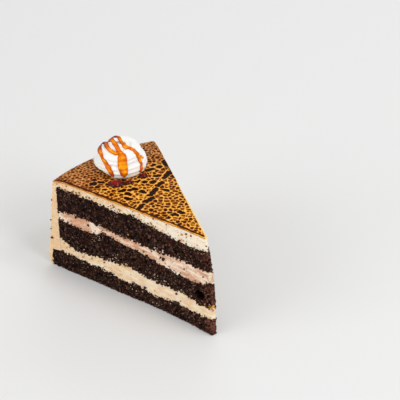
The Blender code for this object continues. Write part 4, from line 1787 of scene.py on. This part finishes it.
@dataclass
class CaramelStrands:
    """Caramel poured over the rosette in a few passes of the spoon.

    Each strand has points near the cream's surface, about the rosette's foot and in
    millimetres, each with half the strand's width there.
    """

    name: str = "caramel_strands"
    strands: tuple[tuple[Quad, ...], ...] = (
        ((9.3, -12.4, 2.6, 1.0), (7.7, -12.3, 5.9, 1.4), (5.4, -12.7, 8.1, 1.45),
         (2.9, -12.5, 10.2, 1.3), (-0.3, -11.9, 11.8, 1.2), (-4.4, -10.8, 12.2, 1.25),
         (-8.0, -8.4, 11.6, 1.1), (-10.2, -5.9, 12.2, 0.9), (-9.3, -4.3, 13.8, 1.1),
         (-4.2, -7.2, 15.7, 1.15), (-0.5, -8.0, 15.9, 1.1), (2.7, -7.9, 15.7, 1.15),
         (5.2, -7.7, 14.9, 1.2), (7.4, -6.6, 14.3, 1.3)),
        ((13.9, -7.2, 2.4, 1.6), (12.5, -6.8, 6.9, 2.3), (11.4, -6.6, 9.4, 2.8),
         (10.0, -6.0, 11.8, 2.8), (8.9, -5.1, 13.9, 2.3), (7.2, -4.8, 15.5, 1.4),
         (5.0, -4.9, 16.6, 1.2), (2.7, -4.6, 17.5, 1.2), (-0.2, -3.9, 18.1, 1.3),
         (-3.5, -3.3, 17.7, 1.2), (-7.5, -2.0, 16.0, 1.3), (-8.2, 0.4, 16.0, 1.2),
         (-6.5, 1.8, 17.0, 1.0), (-2.0, 1.5, 18.4, 1.1), (1.5, 0.2, 18.6, 1.2),
         (4.8, -0.2, 17.7, 1.5), (7.5, 2.2, 16.1, 1.2), (9.2, 2.6, 14.6, 1.2),
         (11.3, 4.3, 11.5, 1.5), (12.3, 5.3, 9.2, 1.2), (13.1, 4.9, 7.7, 0.9),
         (13.9, 4.4, 5.7, 1.1), (14.3, 3.8, 4.2, 1.5), (14.5, 3.4, 2.6, 1.2)),
        ((11.2, 4.9, 11.3, 1.1), (10.6, 7.0, 10.4, 0.9), (10.3, 8.9, 8.6, 0.8)),
    )
    thickness: float = 0.75 * MM
    film: float = 0.6 * MM
    step: float = 0.5 * MM
    sides: int = 20
    easing: int = 14
    thinnest: float = 0.16
    voxel: float = 0.22 * MM
    seed: int = 17

    def build(self, rosette: Object, foot: Vector) -> Object:
        """Builds and dresses the strands.

        Args:
            rosette: The cream that they lie on.
            foot: The rosette's foot.

        Returns:
            The finished piece.
        """
        rosette.data.calc_loop_triangles()
        surface = BVHTree.FromPolygons(
            [vert.co for vert in rosette.data.vertices],
            [face.vertices for face in rosette.data.loop_triangles],
        )
        tubes = [self.strand(points, surface, foot) for points in self.strands]
        strands = joined(self.name, tubes)
        melt(strands, self.voxel, 4)
        points = read_points(strands)
        proud = np.empty(len(points))
        for row, point in enumerate(points):
            nearest, normal, _, _ = surface.find_nearest(Vector(point))
            proud[row] = (Vector(point) - nearest).dot(normal)
        grain = Grain(self.seed)
        local = (points - np.array(foot)) / MM
        loops = ease(-3.0, -8.0, local[:, 0])
        # Painted light: the strand is darker along its edges, where it meets the cream, so that its
        # middle shows as a painted highlight; it is also darker in the loops towards the outer wall
        # and in the pool at the foot.
        edge = ease(0.85 * MM, 0.35 * MM, proud)
        foot_pool = ease(8.0, 2.5, local[:, 2])
        caramel_darkness = self.thinnest + 0.34 * edge + 0.60 * loops + 0.34 * foot_pool
        caramel_darkness += 0.30 * grain.smooth(points, 4 * MM)
        write_value(strands, "caramel_darkness", np.clip(caramel_darkness, 0.0, 1.0))
        face_outwards(strands)
        return dress(strands, POURED.material(self.name), Slot.CARAMEL)

    def strand(self, points: Sequence[Quad], surface: BVHTree, foot: Vector) -> Object:
        """One strand as a flattened tube on the cream.

        Args:
            points: Its points and half widths, in millimetres.
            surface: The cream's surface.
            foot: The rosette's foot.

        Returns:
            The tube.
        """
        rows = np.array(points)
        lengths = np.linalg.norm(np.diff(rows[:, :3], axis=0), axis=1)
        run = np.concatenate([[0.0], np.cumsum(lengths)])
        at = np.linspace(0.0, run[-1], round(run[-1] * MM / self.step))
        x, y, z, half = (smooth_curve(list(zip(run, rows[:, k])), at) * MM for k in range(4))
        grain = Grain(self.seed)
        spots = np.stack([x, y, z], axis=1)
        loops = ease(-1 * MM, -6 * MM, x)
        half = half * (1.08 + 0.16 * grain.smooth(spots, 3.2 * MM) + 0.28 * loops)
        ends = np.sqrt(np.clip(np.minimum(at, at[-1] - at) * MM / half, 0.02, 1.0))
        middles, normals = [], []
        for spot in spots:
            nearest, normal, _, _ = surface.find_nearest(foot + Vector(spot))
            middles.append(np.array(nearest))
            normals.append(normal)
        middles = self.eased(np.array(middles))
        soft = self.eased(np.array([list(n) for n in normals]))
        uprights = [Vector(n).normalized() for n in soft]
        tall = self.thickness * (0.85 + 0.15 * half / MM)
        reaches = [(h * e, t * e) for h, t, e in zip(half, tall, ends)]
        section = round_section(self.sides)
        tube = swept_tube("strand", middles, reaches, section, uprights)
        self.drape(tube, surface, np.tile([y for _, y in section], len(middles)))
        return tube

    def drape(self, tube: Object, surface: BVHTree, upward: Array) -> None:
        """Lifts the back of a strand wherever the cream's ribs would break through it.

        Args:
            tube: The strand, which is changed.
            surface: The cream's surface.
            upward: For each vertex, how far it lies to the strand's back, from -1 to 1.
        """
        points = read_points(tube)
        for row in np.flatnonzero(upward > 0.1):
            nearest, normal, _, _ = surface.find_nearest(Vector(points[row]))
            clear = self.film * math.sqrt(upward[row])
            if (Vector(points[row]) - nearest).dot(normal) < clear:
                points[row] = nearest + normal * clear
        write_points(tube, points)

    def eased(self, rows: Array) -> Array:
        """Smooths rows of numbers.

        Args:
            rows: The rows.

        Returns:
            The rows, each averaged with its neighbours a few times.
        """
        for _ in range(self.easing):
            rows = np.vstack([rows[:1], (rows[:-2] + 2 * rows[1:-1] + rows[2:]) / 4, rows[-1:]])
        return rows


@dataclass
class CaramelBeads:
    """Beads of dark caramel that ran off the rosette onto the glaze.

    Each is its distance ahead of the apex, its offset to the rear, its half width, its half
    depth and its height.
    """

    name: str = "caramel_beads"
    beads: tuple[tuple[float, float, float, float, float], ...] = (
        (72.9, -10.6, 3.4, 3.7, 2.6), (74.6, -13.2, 2.0, 1.8, 1.3), (71.0, -8.2, 1.7, 1.9, 1.2),
        (69.8, -3.7, 1.9, 2.1, 1.7), (70.6, -5.6, 1.3, 1.4, 1.1), (69.4, -1.5, 1.0, 1.2, 0.8),
        (70.3, 7.2, 2.2, 2.3, 2.0), (70.9, 4.9, 1.2, 1.5, 1.1),
    )
    sink: float = 0.45 * MM
    voxel: float = 0.20 * MM

    def build(self) -> Object:
        """Builds and dresses the beads.

        Returns:
            The finished piece.
        """
        domes = []
        for ahead, offset, wide, deep, tall in self.beads:
            bpy.ops.object.select_all(action="DESELECT")
            bpy.ops.mesh.primitive_uv_sphere_add(segments=48, ring_count=32, radius=1.0)
            dome = bpy.context.object
            points = read_points(dome)
            below = points[:, 2] < 0
            points[:, :2] *= (1 - 0.12 * np.clip(points[:, 2], 0, 1))[:, None]
            points *= np.array([wide, deep, tall]) * MM
            points[below, 2] *= self.sink / (tall * MM)
            foot = float(WEDGE.top(np.array([math.hypot(ahead, offset) * MM]))[0])
            write_points(dome, points + np.array([WEDGE.apex_x - ahead * MM, offset * MM, foot]))
            domes.append(dome)
        beads = joined(self.name, domes)
        melt(beads, self.voxel, 6)
        points = read_points(beads)
        # Painted light and shade: each bead is painted bright red at its top and dark towards its
        # foot.
        rise = (points[:, 2] - WEDGE.top_height) / (2.7 * MM)
        write_value(beads, "caramel_darkness", np.clip(1.0 - 1.3 * rise, 0.0, 1.0))
        face_outwards(beads)
        return dress(beads, BEADED.material(self.name), Slot.CARAMEL)


@dataclass(frozen=True)
class Band:
    """A band of bits along a boundary, on both cut faces."""

    boundary: Boundary
    above: float
    spread: float
    count: int


@dataclass
class CutBits:
    """Small bits that lie in the cut faces.

    The named ones are (distance from the apex, height, half width) in millimetres and a shade,
    on the front cut face. Clusters of flecks are (distance, height, spread, count) there too, and
    the rest are drawn in bands of both faces.
    """

    name: str
    finish: BitFinish
    slot: Slot
    named: tuple[Quad, ...]
    bands: tuple[Band, ...]
    clusters: tuple[tuple[float, float, float, int], ...] = ()
    cluster_stretch: float = 1.6
    fleck: Pair = (0.12 * MM, 0.42 * MM)
    smallest: float = 0.22 * MM
    largest: float = 0.6 * MM
    lowest: float = 0.4 * MM
    proud: float = 0.15 * MM
    bury: float = 0.35
    seed: int = 41

    def build(self) -> Object:
        """Builds and dresses the bits.

        Returns:
            The finished piece.
        """
        draw = np.random.default_rng(self.seed)
        distance, height, half = ([row[k] * MM for row in self.named] for k in range(3))
        tone = [row[3] for row in self.named]
        for middle, level, spread, count in self.clusters:
            run = self.cluster_stretch * spread * draw.normal(size=count)
            distance += list(np.abs(middle + run) * MM)
            height += list((level + spread * draw.normal(size=count)) * MM)
            half += list(draw.uniform(*self.fleck, count))
            tone += list(draw.random(count))
        side = [Side.FRONT] * len(distance)
        for band in self.bands:
            for face in Side:
                reach, turn = WEDGE.drawn(draw, band.count, face)
                level = band.boundary.height(reach, turn) + band.above
                distance += list(reach)
                height += list(level + draw.normal(size=band.count) * band.spread)
                half += list(draw.uniform(self.smallest, self.largest, band.count))
                tone += list(draw.random(band.count))
                side += [face] * band.count
        turn = np.array([face.value for face in side]) * WEDGE.half_angle
        place = WEDGE.place(np.array(distance), turn, np.maximum(height, self.lowest))
        outward = np.array([WEDGE.outward(face) for face in side])
        place += outward * (self.proud - self.bury * np.array(half))[:, None]
        shapes = crumb_shapes(5, 2, 0.22, self.seed)
        bits, rows = joined_copies(self.name, shapes, place, np.array(half), draw, self.seed)
        write_value(bits, "shade", np.array(tone)[rows])
        return dress(bits, self.finish.material(self.name), self.slot)


@dataclass
class LooseCrumbs:
    """Crumbs that hang on the sponges' cut faces and lie dragged over the cream."""

    name: str = "sponge_crumbs"
    layers: tuple[tuple[Boundary | None, Boundary], ...] = (
        (None, BOTTOM_SPONGE_TOP), (MIDDLE_SPONGE_FOOT, MIDDLE_SPONGE_TOP),
        (TOP_SPONGE_FOOT, TOP_SPONGE_TOP),
    )
    per_layer: int = 1150
    dragged: int = 55
    hanging_sizes: Pair = (0.30 * MM, 0.85 * MM)
    dragged_sizes: Pair = (0.16, 0.42)
    lowest: float = 0.5 * MM
    edge_share: float = 0.30
    edge_spread: float = 0.55
    proud_range: Pair = (-0.35, 0.25)
    drag_spread: float = 1.1
    drag_proud: float = 0.12 * MM
    seed: int = 51

    def build(self) -> Object:
        """Builds and dresses the crumbs.

        Returns:
            The finished piece.
        """
        draw = np.random.default_rng(self.seed)
        points, halves = [], []
        for foot, top in self.layers:
            for side in Side:
                for middles, sizes in (
                    self.hanging(foot, top, side, draw), self.dragged_up(top, side, draw)
                ):
                    points.append(middles)
                    halves.append(sizes)
        half = np.concatenate(halves)
        shapes = crumb_shapes(6, 1, 0.25, self.seed)
        crumbs, rows = joined_copies(
            self.name, shapes, np.concatenate(points), half, draw, self.seed
        )
        # A random light value for each crumb: the lighter crumbs are partly painted highlights and
        # partly crumbs of a lighter tone.
        write_value(crumbs, "crumb_light", 0.42 + 0.48 * draw.random(len(half))[rows] ** 2)
        return dress(crumbs, SpongeFinish().material(self.name), Slot.SPONGE)

    def hanging(
        self, foot: Boundary | None, top: Boundary, side: Side, draw: Draw
    ) -> tuple[Array, Array]:
        """Crumbs that hang on a sponge, many of them at its two edges.

        Args:
            foot: The sponge's foot, or none where it stands on the ground.
            top: The sponge's top.
            side: The cut face.
            draw: What draws the crumbs.

        Returns:
            Their middles, one to a row, and half the mean width of each.
        """
        count = self.per_layer
        reach, turn = WEDGE.drawn(draw, count, side)
        low = foot.height(reach, turn) if foot else self.lowest + 0.0 * reach
        high = top.height(reach, turn)
        edge = draw.random(count) < self.edge_share
        share = np.where(edge, np.round(draw.random(count)), draw.random(count))
        stray = np.where(edge, draw.normal(size=count) * self.edge_spread * MM, 0.0)
        height = low + (high - low) * share + stray
        if foot is None:
            height = np.maximum(height, self.lowest)
        half = draw.uniform(*self.hanging_sizes, count)
        out = draw.uniform(*self.proud_range, count) * MM
        clear = (side is Side.REAR) | (TIP_HOLLOW.inside(reach, height) == 0.0)
        middles = WEDGE.place(reach, turn, height) + WEDGE.outward(side) * out[:, None]
        return middles[clear], half[clear]

    def dragged_up(self, top: Boundary, side: Side, draw: Draw) -> tuple[Array, Array]:
        """Crumbs that the knife dragged from a sponge onto the cream over it.

        Args:
            top: The sponge's top.
            side: The cut face.
            draw: What draws the crumbs.

        Returns:
            Their middles, one to a row, and half the mean width of each.
        """
        count = self.dragged
        reach, turn = WEDGE.drawn(draw, count, side)
        height = top.height(reach, turn)
        height += np.abs(draw.normal(size=count)) * self.drag_spread * MM
        middles = WEDGE.place(reach, turn, height) + WEDGE.outward(side) * self.drag_proud
        return middles, draw.uniform(*self.dragged_sizes, count) * MM


def facing(place: Triple, target: Triple) -> Euler:
    """The turn of a lamp or camera that looks from a place at a target."""
    return (Vector(target) - Vector(place)).to_track_quat("-Z", "Y").to_euler()


@dataclass
class Studio:
    """The pale table and the soft lights.

    Each light is a name, the place where it hangs, the length of its side, its power in watts
    and the point that it faces.
    """

    table_size: float = 6.0
    table_colour: Colour = (0.80, 0.80, 0.795)
    world_strength: float = 0.50
    lights: tuple[tuple[str, Triple, float, float, Triple], ...] = (
        ("key", (1.60, 0.35, 1.20), 1.0, 15.0, (0.0, 0.0, 0.03)),
        ("front", (-0.30, -1.80, 0.70), 1.4, 14.0, (0.0, 0.0, 0.03)),
        ("top", (0.2, 0.1, 2.4), 2.4, 6.0, (0.0, 0.0, 0.03)),
        ("glint", (0.55, 0.45, 1.10), 0.30, 2.2, (0.0, 0.0, 0.03)),
        ("back", (-1.10, 1.00, 1.00), 0.9, 6.5, (-1.2, 1.1, 0.0)),
    )

    def build(self) -> None:
        """Lays the table and hangs the lights."""
        bpy.ops.object.select_all(action="DESELECT")
        bpy.ops.mesh.primitive_grid_add(x_subdivisions=8, y_subdivisions=8, size=self.table_size)
        table = bpy.context.object
        table.name = "table"
        shading = Shading("table")
        shading.set(Base_Color=self.table_colour, Roughness=0.75, Specular_IOR_Level=0.2)
        table.data.materials.append(shading.material)
        for light in self.lights:
            self.light(*light)
        world = bpy.data.worlds.new("studio")
        world.use_nodes = True
        background = world.node_tree.nodes["Background"]
        background.inputs["Color"].default_value = (1.0, 1.0, 1.0, 1.0)
        background.inputs["Strength"].default_value = self.world_strength
        bpy.context.scene.world = world
        bpy.context.scene.view_settings.view_transform = "Standard"

    @staticmethod
    def light(name: str, place: Triple, size: float, power: float, target: Triple) -> None:
        """Hangs one square soft light.

        Args:
            name: The light's name.
            place: Where its middle hangs.
            size: The length of its side.
            power: Its power in watts.
            target: The point that it faces.
        """
        bpy.ops.object.light_add(type="AREA", location=place)
        lamp = bpy.context.object
        lamp.name = name
        lamp.data.shape = "SQUARE"
        lamp.data.size = size
        lamp.data.energy = power
        lamp.rotation_euler = facing(place, target)


@dataclass
class Viewpoint:
    """The camera: a long lens from above and in front of the tip."""

    place: Triple = (544.45 * MM, -375.6 * MM, 515.9 * MM)
    target: Triple = (-52.45 * MM, 75.0 * MM, 0.0)
    lens: float = 126.0
    sensor: float = 36.0

    def build(self) -> None:
        """Sets up the camera and makes it the scene's own."""
        data = bpy.data.cameras.new("camera")
        data.lens = self.lens
        data.sensor_width = self.sensor
        data.clip_start = 0.01
        camera = bpy.data.objects.new("camera", data)
        camera.location = self.place
        camera.rotation_euler = facing(self.place, self.target)
        bpy.context.scene.collection.objects.link(camera)
        bpy.context.scene.camera = camera


# Patches of the coffee cream's cut: distance from the apex, half width, its soft edge's end,
# and the change of tone.
COFFEE_PATCHES = (
    (88 * MM, 3 * MM, 9 * MM, 0.16),
    (78 * MM, 1 * MM, 5 * MM, -0.55),
)


def pink_streaks(places: CutPlaces, grain: Grain) -> Array:
    """Tone of the coffee cream: long pink streaks, paler at the tip, ivory at the outer end.

    Args:
        places: The filling's vertices.
        grain: Its noise.

    Returns:
        The tone at each vertex.
    """
    tone = 0.64 + 0.36 * grain.rough(places.points * np.array([0.28, 0.28, 1.5]), 3.6 * MM)
    for middle, half, end, change in COFFEE_PATCHES:
        tone += change * ease(end, half, np.abs(places.distance - middle))
    tone -= 0.50 * ease(99 * MM, 104 * MM, places.distance)
    return tone - 0.16 * ease(58 * MM, 26 * MM, places.distance)


def ivory_streaks(places: CutPlaces, grain: Grain) -> Array:
    """Tone of the vanilla cream: a soft brown blush mid-way, the coat's own tone at the outer end.

    Args:
        places: The filling's vertices.
        grain: Its noise.

    Returns:
        The tone at each vertex.
    """
    tone = 0.5 + 0.28 * grain.rough(places.points * np.array([0.6, 0.6, 1.2]), 6 * MM)
    from_blush = np.hypot(0.6 * (places.distance - 56 * MM), places.height - 21.5 * MM)
    tone += 0.35 * ease(4.5 * MM, 1.5 * MM, from_blush)
    return tone + (0.70 - tone) * ease(97 * MM, 104 * MM, places.distance)


def main() -> None:
    """Builds the slice from the ground up, then the table, the lights and the camera."""
    logging.basicConfig(level=logging.INFO, format="%(name)s: %(message)s")
    sponges = (
        SpongeLayer(
            name="bottom_sponge", node="sponge_bottom", top=BOTTOM_SPONGE_TOP, foot=None,
            end=WEDGE.bottom_sponge_radius, up=38, tip_moist=0.8, seed=3,
        ),
        SpongeLayer(
            name="middle_sponge", node="sponge_middle", top=MIDDLE_SPONGE_TOP,
            foot=MIDDLE_SPONGE_FOOT, up=52, hollows=(TIP_HOLLOW,), seed=4,
        ),
        SpongeLayer(
            name="top_sponge", node="sponge_top", top=TOP_SPONGE_TOP, foot=TOP_SPONGE_FOOT,
            up=50, seed=6,
        ),
    )
    for sponge in sponges:
        sponge.build()
    CreamFilling(
        name="vanilla_filling", node="filling_lower", top=MIDDLE_SPONGE_FOOT,
        foot=BOTTOM_SPONGE_TOP, up=34, tone=ivory_streaks,
    ).build()
    CreamFilling(
        name="coffee_filling", node="filling_upper", top=TOP_SPONGE_FOOT,
        foot=MIDDLE_SPONGE_TOP, up=30, finish=COFFEE_CREAM, slot=Slot.UPPER_FILLING,
        tone=pink_streaks, seed=8,
    ).build()
    CreamCoat().build()
    CaramelGlaze().build()
    rosette = Rosette()
    cream = rosette.build()
    CaramelStrands().build(cream, rosette.foot())
    CaramelBeads().build()
    LooseCrumbs().build()
    CutBits(
        name="toffee_bits",
        finish=TOFFEE,
        slot=Slot.CARAMEL,
        named=(
            (30, 37.5, 1.1, 0.1), (31.6, 38.1, 0.8, 0.0), (83, 40, 0.8, 0.1), (55, 22, 1.1, 0.6),
            (57, 21, 0.6, 0.5), (0.8, 20.8, 1.2, 0.9), (2.4, 20.2, 1.2, 0.5),
            (4.0, 18.9, 1.1, 0.05), (1.7, 18.9, 1.1, 1.0), (3.0, 18.0, 0.7, 0.3),
            (0.5, 18.0, 0.9, 1.0), (5.0, 20.0, 0.7, 0.8), (14, 61.5, 0.8, 0.0),
            (11, 61.5, 0.6, 0.1), (36, 63, 0.6, 0.1), (27, 62.6, 0.5, 0.1), (1.5, 59, 0.5, 0.2),
            (17, 60, 0.8, 0.9), (14, 59.5, 0.6, 1.0), (22, 17, 0.8, 0.0), (50, 62.5, 0.4, 0.3),
            (64, 61.5, 0.5, 0.6), (88, 61, 0.6, 0.6), (109.2, 48, 0.5, 0.1),
            (111.0, 33, 0.6, 0.0), (111.2, 26.5, 0.6, 0.0), (111.0, 20, 0.9, 0.2),
        ),
        bands=(
            Band(TOP_SPONGE_TOP, 2.6 * MM, 1.2 * MM, 52),
            Band(MIDDLE_SPONGE_TOP, 4.0 * MM, 2.0 * MM, 26),
            Band(BOTTOM_SPONGE_TOP, 4.0 * MM, 2.0 * MM, 18),
        ),
    ).build()
    CutBits(
        name="cream_smears",
        finish=CREAM_BITS,
        slot=Slot.ICING,
        # The three named lumps at the tip of the coffee cream are a curl of pale cream that also
        # stands for a painted highlight there.
        named=((1.5, 42.0, 0.9, 1.0), (1.6, 40.2, 1.1, 1.0), (1.8, 38.4, 0.9, 1.0)),
        clusters=(
            (52, 8.8, 2.2, 26), (35, 3.2, 1.0, 14), (34.5, 22.4, 1.6, 28), (76.5, 33.4, 1.7, 28),
            (62.5, 24.4, 1.4, 20), (6, 54.4, 1.5, 22),
        ),
        bands=(
            Band(MIDDLE_SPONGE_FOOT, 1.2 * MM, 0.8 * MM, 26),
            Band(BOTTOM_SPONGE_TOP, -1.2 * MM, 0.8 * MM, 26),
            Band(TOP_SPONGE_FOOT, 1.0 * MM, 0.7 * MM, 14),
        ),
        largest=0.5 * MM,
        seed=43,
    ).build()
    Studio().build()
    Viewpoint().build()


if __name__ == "__main__":
    main()
